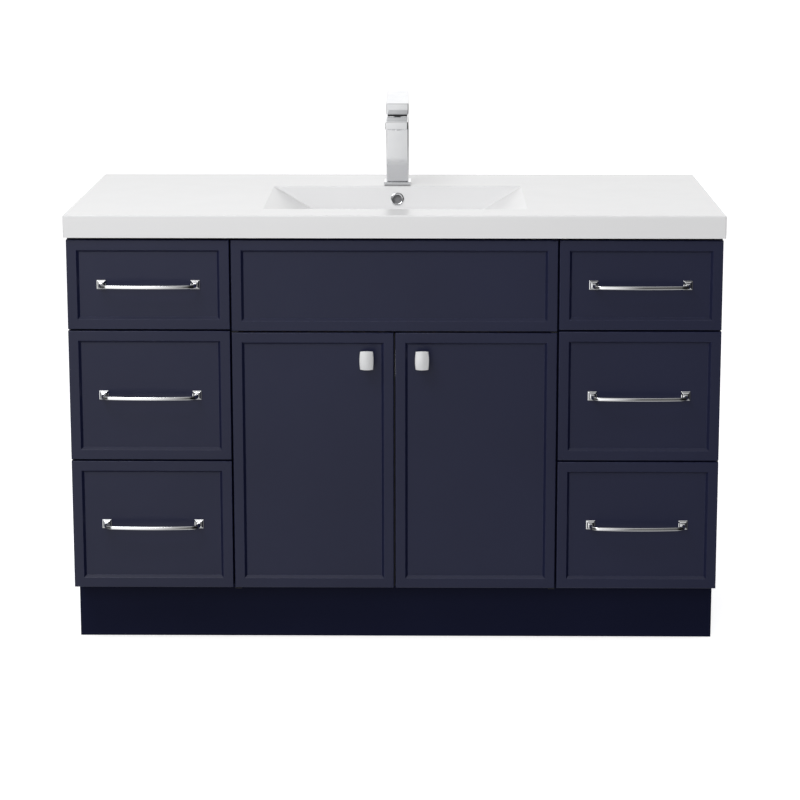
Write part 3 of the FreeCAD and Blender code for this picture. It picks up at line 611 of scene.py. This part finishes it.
def knob(node, body):
    """A barrel-sided pillow knob on a turned stem."""
    low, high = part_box(node)
    middle = (low + high) / 2
    half_wide, half_high = (high.x - low.x) / 2, (high.z - low.z) / 2
    outline = []
    steps = 14
    for side in range(4):
        for k in range(steps):
            t = -1 + 2 * k / steps
            x, z = ((t, -1), (1, t), (-t, 1), (-1, -t))[side]
            outline.append((x * half_wide * (1 - 0.105 * z * z), z * half_high * (1 - 0.052 * x * x)))

    def ring(scale, inset, depth, crown):
        points = []
        for x, z in outline:
            flat_x, flat_z = abs(x) - inset, abs(z) - inset
            px = math.copysign(max(flat_x, 0) * scale, x)
            pz = math.copysign(max(flat_z, 0) * scale, z)
            dome = crown * (1.9 * (px / half_wide) ** 2 + 0.9 * (pz / half_high) ** 2) * MM
            points.append((middle.x + px, low.y + depth * MM + dome, middle.z + pz))
        return points

    bm = bmesh.new()
    barrel = ((0.80, 13.0), (0.86, 12.6), (0.945, 9.5), (0.985, 6.0), (1.0, 3.6))
    rings = [ring(scale, 0, depth, 0) for scale, depth in barrel] + [ring(1.0, 0.02 * MM, 2.7, 0.2)]
    for k in range(1, 6):
        a = math.radians(90 * k / 5)
        rings.append(ring(1.0, 1.1 * MM * (1 - math.cos(a)), 1.1 * (1 - math.sin(a)), 1.0))
    for scale in (0.86, 0.7, 0.52, 0.34, 0.17, 0.03):
        rings.append(ring(scale, 1.1 * MM, 0, 1.0))
    loop_ring(bm, rings)
    stem_from = low.y + 13 * MM
    length = high.y - stem_from
    stem = mm((5.6, 0), (4.6, 3), (4.3, 6), (4.6, 9), (5.5, 11.5), (6, 12.6))
    lathe(bm, (middle.x, stem_from - 0.5 * MM, middle.z), BACK, stem + [(6 * MM, length + 0.5 * MM)], 32)
    finish_mesh(node + "_piece", bm, NICKEL, body, (node,), 38)


# Drawers

WALL, SHEET, LIFT = 12 * MM, 6 * MM, 10 * MM  # a drawer's walls, its floor, and the floor's height


def drawer_box(node, body):
    """Four walls and a floor in lacquered maple, with their edges eased."""
    low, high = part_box(node)
    inside = (low.x + WALL, high.x - WALL)
    bm = bmesh.new()
    for x in (low.x, inside[1]):
        add_board(bm, (x, low.y, low.z), (x + WALL, high.y, high.z), 1.0 * MM, 2)
    lengthwise = set(bm.faces)
    for y in (low.y, high.y - WALL):
        add_board(bm, (inside[0], y, low.z), (inside[1], y + WALL, high.z - 0.4 * MM), 1.0 * MM, 2)
    for face in set(bm.faces) - lengthwise:
        face.material_index = 1
    add_board(bm, (inside[0], low.y + WALL, low.z + LIFT),
              (inside[1], high.y - WALL, low.z + LIFT + SHEET), 0.2 * MM, 1)
    finish_mesh(node + "_piece", bm, MAPLE[1], body, (node,), extra=(MAPLE[0],))


def drawer_details(side, row, body):
    """Screw heads on the inside of the drawer's front wall, and the buffers behind its front."""
    low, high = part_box(f"{side}_{row}_drawer_box")
    pull_low, pull_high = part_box(f"{side}_{row}_pull")
    face, pull_z = low.y + WALL, (pull_low.z + pull_high.z) / 2
    spots = [((x, face, pull_z), PULL_SCREW) for x in (pull_low.x + PULL_FOOT, pull_high.x - PULL_FOOT)]
    spots += [((x, face, z), FRONT_SCREW) for x in (low.x + 32 * MM, high.x - 32 * MM)
              for z in (low.z + 30 * MM, high.z - 16 * MM)]
    screws(f"{side}_{row}_front_screws", body, spots)
    front_low, front_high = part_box(f"{side}_{row}_drawer_front")
    spots = [(x, front_high.y, front_high.z - 9 * MM)
             for x in (front_low.x + 5 * MM, front_high.x - 5 * MM)]
    bumpers(f"{side}_{row}_front_bumpers", body, spots, 1)


# Drawer slides

STEEL = 1.5 * MM
WEB_STEP, CABINET_TALL = 2.3 * MM, 45 * MM  # from web to web, and the cabinet member's height
MIDDLE_DEPTH, DRAWER_DEPTH, CABINET_DEPTH = 9.6 * MM, 8.1 * MM, 10.4 * MM  # of the members' C sections
BALL, BALL_PITCH, BALLS = 1.35 * MM, 7.2 * MM, 8  # radius, spacing and number in a row
BALL_IN, BALL_START = 5.6 * MM, 14 * MM  # a row's distance from the web, and its first ball


def rail_section(x, inward, depth, middle, high):
    """The C outline of one slide member, as (x, z) pairs, with rounded bends. The web is at x, and
    the lips point inward."""
    outer, inner = 2.2 * MM, 0.7 * MM
    half = high / 2
    points = []
    for k in range(4):
        a = math.radians(90 * k / 3)
        points.append((outer * (1 - math.cos(a)), half - outer * (1 - math.sin(a))))
    points.append((depth, half))
    points.append((depth, half - STEEL))
    for k in range(3):
        a = math.radians(90 - 45 * k)
        points.append((STEEL + inner * (1 - math.cos(a)), half - STEEL - inner * (1 - math.sin(a))))
    points += [(across, -up) for across, up in reversed(points)]
    return [(x + inward * across, middle + up) for across, up in points]


def rail(bm, x, inward, depth, middle, high, y):
    outline = rail_section(x, inward, depth, middle, high)
    loop_ring(bm, [[(px, along, pz) for px, pz in outline] for along in y])


def slide_rails(side, row):
    """The moving members of both slides of a drawer, with rolled bends, and the rows of balls that
    stay with the middle member."""
    drawer, middle_body = f"{side}_{row}_drawer", f"{side}_{row}_middle_member"
    for kind, body in (("middle", middle_body), ("drawer", drawer)):
        node = f"{side}_{row}_{kind}_rails"
        low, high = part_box(node)
        z, tall = (low.z + high.z) / 2, high.z - low.z
        bm = bmesh.new()
        for x, inward in ((low.x, 1), (high.x, -1)):
            if kind == "middle":
                rail(bm, x, inward, MIDDLE_DEPTH, z, tall, (low.y, high.y))
            else:
                rail(bm, x + inward * DRAWER_DEPTH, -inward, DRAWER_DEPTH, z, tall, (low.y, high.y))
        finish_mesh(node + "_piece", bm, ZINC, body, (node,))
    low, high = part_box(f"{side}_{row}_middle_rails")
    z, tall = (low.z + high.z) / 2, high.z - low.z
    bm = bmesh.new()
    for x, inward in ((low.x, 1), (high.x, -1)):
        across = x + inward * BALL_IN
        for sign in (-1, 1):
            for off in (tall / 2 + 1.5 * MM, tall / 2 - STEEL - 1.5 * MM):
                for k in range(BALLS):
                    ball(bm, (across, low.y + BALL_START + k * BALL_PITCH, z + sign * off))
    finish_mesh(f"{side}_{row}_slide_balls", bm, CHROME, middle_body)


def ball(bm, at):
    """A small ball with rings of latitude."""
    rings = []
    for k in range(1, 6):
        a = math.pi * k / 6
        rings.append([Vector(at) + BALL * Vector((math.sin(a) * math.cos(b), math.sin(a) * math.sin(b),
                                                  math.cos(a))) for b in angles(10)])
    loop_ring(bm, rings)


def cabinet_rails():
    """The cabinet members of all twelve slides, with their screws."""
    flat_head = mm((3.0, 0), (2.6, 0.35), (1.2, 0.5), (0.1, 0.5))
    bm = bmesh.new()
    heads = bmesh.new()
    for side in SIDES:
        for row in ROWS:
            low_mid, high_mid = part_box(f"{side}_{row}_middle_rails")
            z = (low_mid.z + high_mid.z) / 2
            for x, inward in ((low_mid.x - WEB_STEP, 1), (high_mid.x + WEB_STEP, -1)):
                rail(bm, x, inward, CABINET_DEPTH, z, CABINET_TALL, (low_mid.y, high_mid.y))
                for along in (0.06, 0.5, 0.94):
                    y = low_mid.y + along * (high_mid.y - low_mid.y)
                    lathe(heads, (x + inward * STEEL, y, z), (inward, 0, 0), flat_head, 14)
    finish_mesh("cabinet_rails_piece", bm, ZINC, "cabinet", ("cabinet_rails",))
    finish_mesh("cabinet_rail_screws", heads, ZINC, "cabinet")


# Top and basin

RIM, FOOT = 3.6 * MM, 11 * MM
TOP_WIDE, TOP_LONG = 248 * MM, 151 * MM  # half the basin's opening, across and front to back
FLOOR_WIDE, FLOOR_LONG = 54 * MM, 120 * MM  # half its floor, measured where straight walls would meet it
BASIN_DEPTH = 115 * MM
SHELL = 12 * MM  # the casting's thickness around the basin
LEAN = Vector((0, -BASIN_DEPTH, TOP_LONG - FLOOR_LONG)).normalized()  # square to the basin's back wall


def wall_offset(depth, half_top, half_foot):
    """Half the basin's opening at a depth: a rounded rim, a straight slope and a rounded foot."""
    slope = math.atan2(BASIN_DEPTH, half_top - half_foot)
    if depth < RIM * (1 - math.cos(slope)):
        return half_top + RIM * (math.tan(slope / 2) - math.sin(math.acos(1 - depth / RIM)))
    above = BASIN_DEPTH - depth
    if above < FOOT * (1 - math.cos(slope)):
        return half_foot - FOOT * math.tan(slope / 2) + FOOT * math.sin(math.acos(1 - above / FOOT))
    return half_top - depth / math.tan(slope)


def basin_depths():
    """Where the basin's inside is cut: close together in the rim and the foot, wide apart between."""
    rim = [0, 0.02, 0.08, 0.2, 0.36, 0.55, 0.9, 1.3, 1.8, 2.3, 2.7]
    slope = [8, 20, 40, 60, 80, 95]
    foot = [8.4, 6.4, 4.6, 3.0, 1.6, 0.9, 0.4, 0.1, 0]
    return [d * MM for d in rim + slope] + [BASIN_DEPTH - h * MM for h in foot]


def slab(low, high, under):
    """The flat part of the top, rounded along its upper edges and its front corners."""
    def rounded(edge):
        first, second = (vert.co for vert in edge.verts)
        at_back = all(co.y > high.y - TOUCH for co in (first, second))
        on_top = all(co.z > high.z - TOUCH for co in (first, second))
        front_corner = abs(first.z - second.z) > 1 * MM and first.y < low.y + TOUCH
        return not at_back and (on_top or front_corner)

    bm = bmesh.new()
    add_board(bm, (low.x, low.y, under), high, 3 * MM, 4, rounded)
    return loose(bm)


def basin_shell(centre_y, deck):
    """The outside of the basin, which sticks out below the slab and has a rounded bottom."""
    rings = []
    for depth in [20 * MM, 60 * MM, 100 * MM] + [BASIN_DEPTH + past * MM for past in (0, 4, 8, 10.8, 12)]:
        share = min(depth / BASIN_DEPTH, 1)
        past = max(depth - BASIN_DEPTH, 0)
        outside = SHELL - 0.45 * (SHELL - math.sqrt(max(SHELL ** 2 - past ** 2, 0)))
        wide = TOP_WIDE + (FLOOR_WIDE - TOP_WIDE) * share + outside
        long = TOP_LONG + (FLOOR_LONG - TOP_LONG) * share + outside
        rings.append([(x, centre_y + y, deck - depth) for x, y in section(wide, long, 16 * MM, 5)])
    bm = bmesh.new()
    loop_ring(bm, rings)
    return loose(bm)


def basin_cavity(centre_y, deck):
    """What is cut out of the slab and the shell: from above the deck down to the basin's floor."""
    rings = []
    for depth in [-2 * MM] + basin_depths():
        down = max(depth, 0)
        wide = wall_offset(down, TOP_WIDE, FLOOR_WIDE)
        long = wall_offset(down, TOP_LONG, FLOOR_LONG)
        rounding = (5.5 - 1.5 * down / BASIN_DEPTH) * MM
        rings.append([(x, centre_y + y, deck - depth) for x, y in section(wide, long, rounding, 7)])
    bm = bmesh.new()
    loop_ring(bm, rings)
    return loose(bm)


def countertop():
    """The slab and its basin, cast in one piece, with holes for the waste, faucet and overflow."""
    low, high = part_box("countertop_sink")
    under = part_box("left_side_panel")[1].z
    centre_y = middle_of("drain_flange")[1]
    tap_y = middle_of("faucet_base_plate")[1]
    _, ring_y, ring_z = middle_of("overflow_ring")
    top = slab(low, high, under)
    boolean(top, basin_shell(centre_y, high.z), "UNION")
    boolean(top, basin_cavity(centre_y, high.z), "DIFFERENCE")
    for base, axis, radius, length in (
            ((0, centre_y, high.z - BASIN_DEPTH - 20 * MM), UP, 22.5 * MM, 22 * MM),
            ((0, tap_y, under - 5 * MM), UP, 17.5 * MM, 60 * MM),
            (Vector((0, ring_y, ring_z)) - LEAN * 6.5 * MM, LEAN, 10.6 * MM, 16 * MM)):
        bm = bmesh.new()
        lathe(bm, base, axis, [(radius, 0), (radius, length)], 64)
        boolean(top, loose(bm), "DIFFERENCE")
    mesh = top.data
    bpy.data.objects.remove(top)
    mesh.materials.clear()
    finish_piece("countertop_piece", mesh, ACRYLIC, "cabinet", ("countertop_sink",), 34)


def overflow():
    """The overflow's ring, a rounded lip on a sleeve, and the grey throat inside it."""
    _, y, z = middle_of("overflow_ring")
    base = Vector((0, y, z)) - LEAN * 5.4 * MM
    turned("overflow_ring_piece", base, mm(
        (8.5, 0), (10.5, 0), (10.5, 8.9), (13.3, 8.95), (13.5, 9.3), (13.3, 10.0), (12.6, 10.6),
        (11.4, 10.9), (10.0, 10.7), (9.1, 10.1), (8.5, 9.0), (8.5, 0)),
        72, CHROME, ("overflow_ring",), 50, axis=LEAN)
    turned("overflow_throat", base + LEAN * 0.2 * MM, mm(
        (8.4, 0), (8.4, 1.2), (7.4, 1.9), (3.0, 2.3), (0.1, 2.3)),
        40, THROAT, axis=LEAN)


# Waste

def thread(root, crest, length, pitch):
    """A turned profile of thread ridges as one closed loop."""
    profile = [(root, 0)]
    for k in range(int(length / pitch)):
        profile += [(crest, (k + 0.45) * pitch), (crest, (k + 0.6) * pitch), (root, (k + 1) * pitch)]
    return profile + [(root - 0.3 * MM, length), (root - 0.3 * MM, 0), (root, 0)]


def drain_flange(x, y, bottom, basin_floor):
    """The flange on the basin's floor, its barrel, and the two bars that guide the stopper."""
    bm = bmesh.new()
    lathe(bm, (x, y, bottom), UP, mm(
        (15.6, 0), (21.4, 0), (22.2, 0.8), (22.2, 57.9), (31.6, 58.0), (32, 58.3), (31.4, 59.0),
        (28, 59.9), (24, 60.5), (21.2, 60.4), (19.8, 59.6), (19.2, 58.2), (19.2, 12), (15.6, 12),
        (15.6, 0)), 72)
    for near, far in ((-19.3, -4.3), (4.3, 19.3)):
        add_board(bm, (x + near * MM, y - 7 * MM, basin_floor - 14 * MM),
                  (x + far * MM, y + 7 * MM, basin_floor - 10 * MM), 0.6 * MM, 2)
    finish_mesh("drain_flange_piece", bm, CHROME, "cabinet", ("drain_flange",), 40)


def drain_locknut(x, y, under):
    """A ring nut with eight notches around it, below the basin."""
    def ring(radius, up, notch=0.0):
        points = []
        for a in angles(96):
            reach = radius * (1 + notch * (math.cos(8 * a) > 0)) * MM
            points.append((x + reach * math.cos(a), y + reach * math.sin(a), under + up * MM))
        return points

    outside = ((27, -14), (29.5, -13.2), (30, -12), (30, -6.5), (29, -5.6))
    bm = bmesh.new()
    loop_ring(bm, [ring(radius, up, 0.09) for radius, up in outside]
              + [ring(22.9, up) for up in (-5.6, -14)], "joined")
    finish_mesh("drain_locknut", bm, CHROME, "cabinet")


def drain():
    """The waste: flange, thread, locknut, gasket, tailpiece and stopper."""
    low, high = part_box("drain_flange")
    x, y, _ = middle_of("drain_flange")
    basin_floor = high.z - 2.5 * MM
    under = basin_floor - SHELL
    drain_flange(x, y, low.z, basin_floor)
    turned("drain_thread", (x, y, low.z + 1 * MM), thread(22.2 * MM, 22.7 * MM, 20 * MM, 2 * MM),
           48, CHROME, sharp=60)
    drain_locknut(x, y, under)
    turned("drain_gasket", (x, y, under - 5.6 * MM), mm(
        (22.9, 0), (29.5, 0), (30.5, 1), (29.5, 4.6), (27.5, 5.5), (22.9, 5.5), (22.9, 0)),
        64, RUBBER)
    turned("drain_tailpiece_piece", (x, y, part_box("drain_tailpiece")[0].z), mm(
        (14.475, 0.3), (14.8, 0), (15.6, 0), (15.875, 0.4), (15.875, 127.9), (15.475, 128),
        (15.475, 140), (14.475, 140), (14.475, 0.3)),
        64, CHROME, ("drain_tailpiece",), 40)
    turned("drain_stopper_piece", (x, y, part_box("drain_stopper")[0].z), mm(
        (3.4, 0), (4, 0.7), (4, 24.0), (6, 25.0), (17.5, 25.2), (18.5, 25.7), (18.7, 26.5),
        (18.5, 27.3), (17.6, 27.9), (14, 28.3), (7, 28.48), (0.2, 28.5)),
        72, CHROME, ("drain_stopper",), 40, "stopper")


# Faucet

def faucet_body():
    """The square body with its flat spout, base plate, gasket, and the dark collar under the lever."""
    low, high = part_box("faucet_body")
    plate_low, plate_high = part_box("faucet_base_plate")
    back = high.y
    front = back - (high.x - low.x)
    spout = high.z - 16 * MM
    fillet = 2.5 * MM
    outline = [(front, low.z), (back, low.z), (back, high.z), (low.y, high.z), (low.y, spout)]
    for k in range(5):
        a = math.radians(90 * k / 4)
        outline.append((front - fillet + fillet * math.sin(a), spout - fillet + fillet * math.cos(a)))
    bm = bmesh.new()
    extrude_outline(bm, outline, 0, low.x, high.x)
    bmesh.ops.recalc_face_normals(bm, faces=bm.faces)
    ease(bm, list(bm.faces), 1.7 * MM, 5, lambda edge: edge.calc_face_angle(0) > math.radians(60))
    finish_mesh("faucet_body_piece", bm, CHROME, "cabinet", ("faucet_body",), 30)
    bm = bmesh.new()
    add_board(bm, plate_low + Vector((0, 0, 0.8 * MM)), plate_high, 1.1 * MM, 3)
    finish_mesh("faucet_base_plate_piece", bm, CHROME, "cabinet",
                ("faucet_base_plate",), 30)
    bm = bmesh.new()
    inset = Vector((0.9 * MM, 0.9 * MM, 0))
    gasket_high = Vector((plate_high.x, plate_high.y, plate_low.z + 1.0 * MM))
    add_board(bm, plate_low + inset, gasket_high - inset, 0.2 * MM, 1)
    finish_mesh("faucet_gasket", bm, RUBBER, "cabinet")
    bm = bmesh.new()
    step = 2.4 * MM
    add_board(bm, (low.x + step, front + step, high.z - 0.2 * MM),
              (high.x - step, back - step, high.z + 1.6 * MM), 0.5 * MM, 2)
    finish_mesh("faucet_collar", bm, DARK, "cabinet")


def aerator():
    """The aerator's ring in the spout, and the grid inside it."""
    x, y, _ = middle_of("faucet_aerator")
    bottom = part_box("faucet_aerator")[0].z
    turned("faucet_aerator_piece", (x, y, bottom), mm(
        (9, 0.3), (9.3, 0), (10.6, 0), (11, 0.4), (11, 8.4), (9, 8.4), (9, 0.3)),
        48, CHROME, ("faucet_aerator",), 40)
    bore, pitch, half_bar = 9 * MM, 2 * MM, 0.3 * MM
    bm = bmesh.new()
    for k in range(-4, 5):
        across = k * pitch
        reach = math.sqrt(max(bore ** 2 - across ** 2, 0)) - 0.2 * MM
        for lower, upper in (((x - reach, y + across - half_bar), (x + reach, y + across + half_bar)),
                             ((x + across - half_bar, y - reach), (x + across + half_bar, y + reach))):
            if reach > 1 * MM:
                add_board(bm, (*lower, bottom + 1.2 * MM), (*upper, bottom + 2.4 * MM), 0)
    lathe(bm, (x, y, bottom + 2.4 * MM), UP, mm((8.9, 0), (8.9, 1), (0.1, 1), (0.1, 0)), 32)
    finish_mesh("faucet_aerator_grid", bm, DARK, "cabinet")


def faucet_lever():
    """The lever, rounded along its sides and across its two ends."""
    low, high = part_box("faucet_lever")

    def outside(edge):
        first, second = (vert.co for vert in edge.verts)
        on_side = abs(first.x) > high.x - TOUCH and abs(second.x) > high.x - TOUCH
        at_end = all(co.y < low.y + TOUCH or co.y > high.y - TOUCH for co in (first, second))
        crossing = abs(first.z - second.z) < 1e-6 and abs(first.x - second.x) > 10 * MM
        return on_side or (at_end and crossing)

    cad_copy("faucet_lever", 1.4 * MM, 4, CHROME, "lever", outside)


def fixing():
    """The threaded shank under the deck, with its bore and its hexagon nut."""
    x, y, _ = middle_of("faucet_fixing")
    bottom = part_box("faucet_fixing")[0].z
    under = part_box("left_side_panel")[1].z
    ridges = [(14 if k % 2 else 13.3, 0.8 + 0.9 * k) for k in range(36)]
    bm = bmesh.new()
    lathe(bm, (x, y, bottom), UP,
          mm((9, 0), (13.2, 0), *ridges, (14, 34), (14, 101.5), (9, 101.5), (9, 0)), 48)
    rings = []
    for radius, up in mm((22.5, -9), (24, -8.2), (24, -0.9), (22.8, 0)):
        rings.append([(x + radius * math.cos(a + 0.26), y + radius * math.sin(a + 0.26), under + up)
                      for a in angles(6)])
    loop_ring(bm, rings)
    finish_mesh("faucet_fixing_piece", bm, BRASS, "cabinet", ("faucet_fixing",), 34)


def spindle_and_cartridge():
    """The turning spindle with its square end, and the ceramic cartridge around it."""
    low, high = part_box("cartridge_spindle")
    x, y, _ = middle_of("cartridge_spindle")
    neck = high.z - 9.5 * MM
    square = 6 * MM
    bm = bmesh.new()
    lathe(bm, (x, y, low.z), UP, [(7.6 * MM, 0), (8 * MM, 0.5 * MM), (8 * MM, neck - low.z - 0.3 * MM),
                                  (7.6 * MM, neck - low.z)], 40)
    add_board(bm, (x - square, y - square, neck - 0.2 * MM), (x + square, y + square, high.z), 0.6 * MM, 2)
    finish_mesh("cartridge_spindle_piece", bm, ZINC, "lever_swivel", ("cartridge_spindle",))
    x, y, _ = middle_of("faucet_cartridge")
    turned("faucet_cartridge_piece", (x, y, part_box("faucet_cartridge")[0].z), mm(
        (8.1, 0), (16.5, 0), (17, 0.5), (17, 44.5), (16, 45.6), (13, 45.9), (9, 46), (8.1, 45.4),
        (8.1, 0)), 56, DARK, ("faucet_cartridge",))


# The whole unit

def keep(node, material):
    """Show a small CAD piece in its own shape."""
    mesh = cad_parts[node].data
    mesh.materials.clear()
    mesh.materials.append(material)


def drawers(side):
    """The three drawers of a side, with their pulls, boxes and slides."""
    for row in ROWS:
        body = f"{side}_{row}_drawer"
        framed_front(f"{side}_{row}_drawer_front", body)
        pull(f"{side}_{row}_pull", body)
        drawer_box(f"{side}_{row}_drawer_box", body)
        drawer_details(side, row, body)
        slide_rails(side, row)


def door(side):
    """A door with its knob, the knob's screw on the inside, and its pivot bushes."""
    leaf = f"{side}_door_leaf"
    framed_front(f"{side}_door", leaf)
    knob(f"{side}_knob", leaf)
    x, _, z = middle_of(f"{side}_knob")
    screws(f"{side}_knob_screw", leaf, [((x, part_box(f"{side}_door")[1].y, z), PULL_SCREW)])
    keep(f"{side}_door_bushes", BRASS)


def door_bumpers():
    """Two buffers on the case's floor panel, one for each door."""
    low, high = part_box("bottom_panel")
    spots = [(x, low.y, high.z - 7 * MM) for x in (-18 * MM, 18 * MM)]
    bumpers("door_bumpers", "cabinet", spots, -1)


panels()
back_screws()
framed_front("false_front", "cabinet")
for side in SIDES:
    drawers(side)
    door(side)
gap_shade_strip()
cabinet_rails()
door_bumpers()
keep("door_pivots", BLACK_STEEL)
countertop()
overflow()
drain()
faucet_body()
aerator()
faucet_lever()
fixing()
spindle_and_cartridge()


# Stage, light and camera

def floor():
    """A wide pale disc just under the unit, which neither lights it nor shows in it."""
    bm = bmesh.new()
    loop_ring(bm, [[(r * math.cos(a), r * math.sin(a), 0) for a in angles(96)]
                   for r in (60.0, 12.0, 3.0, 0.5)], "open")
    mesh = to_mesh("floor", bm)
    FLOOR.cycles.emission_sampling = "NONE"
    mesh.materials.append(FLOOR)
    item = bpy.data.objects.new("floor", mesh)
    item.location.z = -0.0005
    item.visible_diffuse = False
    item.visible_glossy = False
    bpy.context.scene.collection.objects.link(item)


def studio():
    """A pale studio all around: dark in the upper front, at the right and just below the horizon,
    softer at the left, bright far below, with a bright card low at the front left."""
    world = bpy.data.worlds.new("studio")
    bpy.context.scene.world = world
    world.use_nodes = True
    tree = world.node_tree
    direction = tree.nodes.new("ShaderNodeTexCoord").outputs["Generated"]

    def facing(way, start, end, low, high):
        """Brightness from low to high as the direction turns towards a way."""
        dot = tree.nodes.new("ShaderNodeVectorMath")
        dot.operation = "DOT_PRODUCT"
        dot.inputs[1].default_value = Vector(way).normalized()
        tree.links.new(direction, dot.inputs[0])
        span = tree.nodes.new("ShaderNodeMapRange")
        span.interpolation_type = "SMOOTHSTEP"
        for index, value in enumerate((start, end, low, high), start=1):
            span.inputs[index].default_value = value
        tree.links.new(dot.outputs["Value"], span.inputs[0])
        return span.outputs[0]

    def combine(operation, first, second):
        item = tree.nodes.new("ShaderNodeMath")
        item.operation = operation
        tree.links.new(first, item.inputs[0])
        tree.links.new(second, item.inputs[1])
        return item.outputs[0]

    strength = facing((0, -0.93, 0.34), 0.80, 0.94, 1.05, 0.14)  # upper front
    for part in (facing((1, -0.2, 0.2), 0.18, 0.72, 1.0, 0.05),  # right
                 facing((-1, 0, 0.2), 0.18, 0.72, 1.0, 0.42),  # left
                 facing((0, 0.95, 0.31), 0.84, 0.97, 1.0, 1.06),  # behind
                 facing((0, 0, -1), -0.02, 0.16, 1.0, 0.16),  # just below the horizon
                 facing((0, 0, -1), 0.38, 0.62, 1.0, 3.8)):  # far below
        strength = combine("MULTIPLY", strength, part)
    card = facing((-0.32, -0.94, -0.06), 0.90, 0.985, 0.0, 1.1)
    strength = combine("ADD", strength, card)
    background = tree.nodes["Background"]
    background.inputs["Color"].default_value = (1, 1, 1, 1)
    tree.links.new(strength, background.inputs["Strength"])


def lamp(name, at, aim, size, power, mirrored):
    """A soft rectangular lamp, which shows in polished metal only if it is mirrored."""
    light = bpy.data.lights.new(name, "AREA")
    light.shape = "RECTANGLE"
    light.size, light.size_y = size
    light.energy = power
    item = bpy.data.objects.new(name, light)
    item.location = at
    item.rotation_euler = (Vector(aim) - Vector(at)).to_track_quat("-Z", "Y").to_euler()
    item.visible_glossy = mirrored
    bpy.context.scene.collection.objects.link(item)


def camera():
    """Slightly above the top, square to the fronts, with the lens shifted down."""
    data = bpy.data.cameras.new("camera")
    data.sensor_width = 36
    data.lens = 103.44
    data.shift_x = -0.01605
    data.shift_y = -0.165
    data.clip_end = 200
    item = bpy.data.objects.new("camera", data)
    item.location = (0.07147, -4.45319, 1.48351)
    pitch, yaw = 0.17657, -0.00886
    item.rotation_euler = (math.pi / 2 - pitch, 0, -yaw)
    bpy.context.scene.collection.objects.link(item)
    bpy.context.scene.camera = item


floor()
studio()
lamp("key", (-1.3, -2.0, 3.2), (-0.25, 0, 0.6), (1.3, 1.1), 31, True)
lamp("front_fill", (-0.3, -4.6, 2.4), (0, 0, 0.7), (3.4, 2.0), 70, False)
lamp("side_fill", (4.4, 0.5, 0.7), (0.6, 0, 0.5), (1.8, 1.2), 80, False)
camera()
bpy.context.scene.view_settings.view_transform = "Standard"
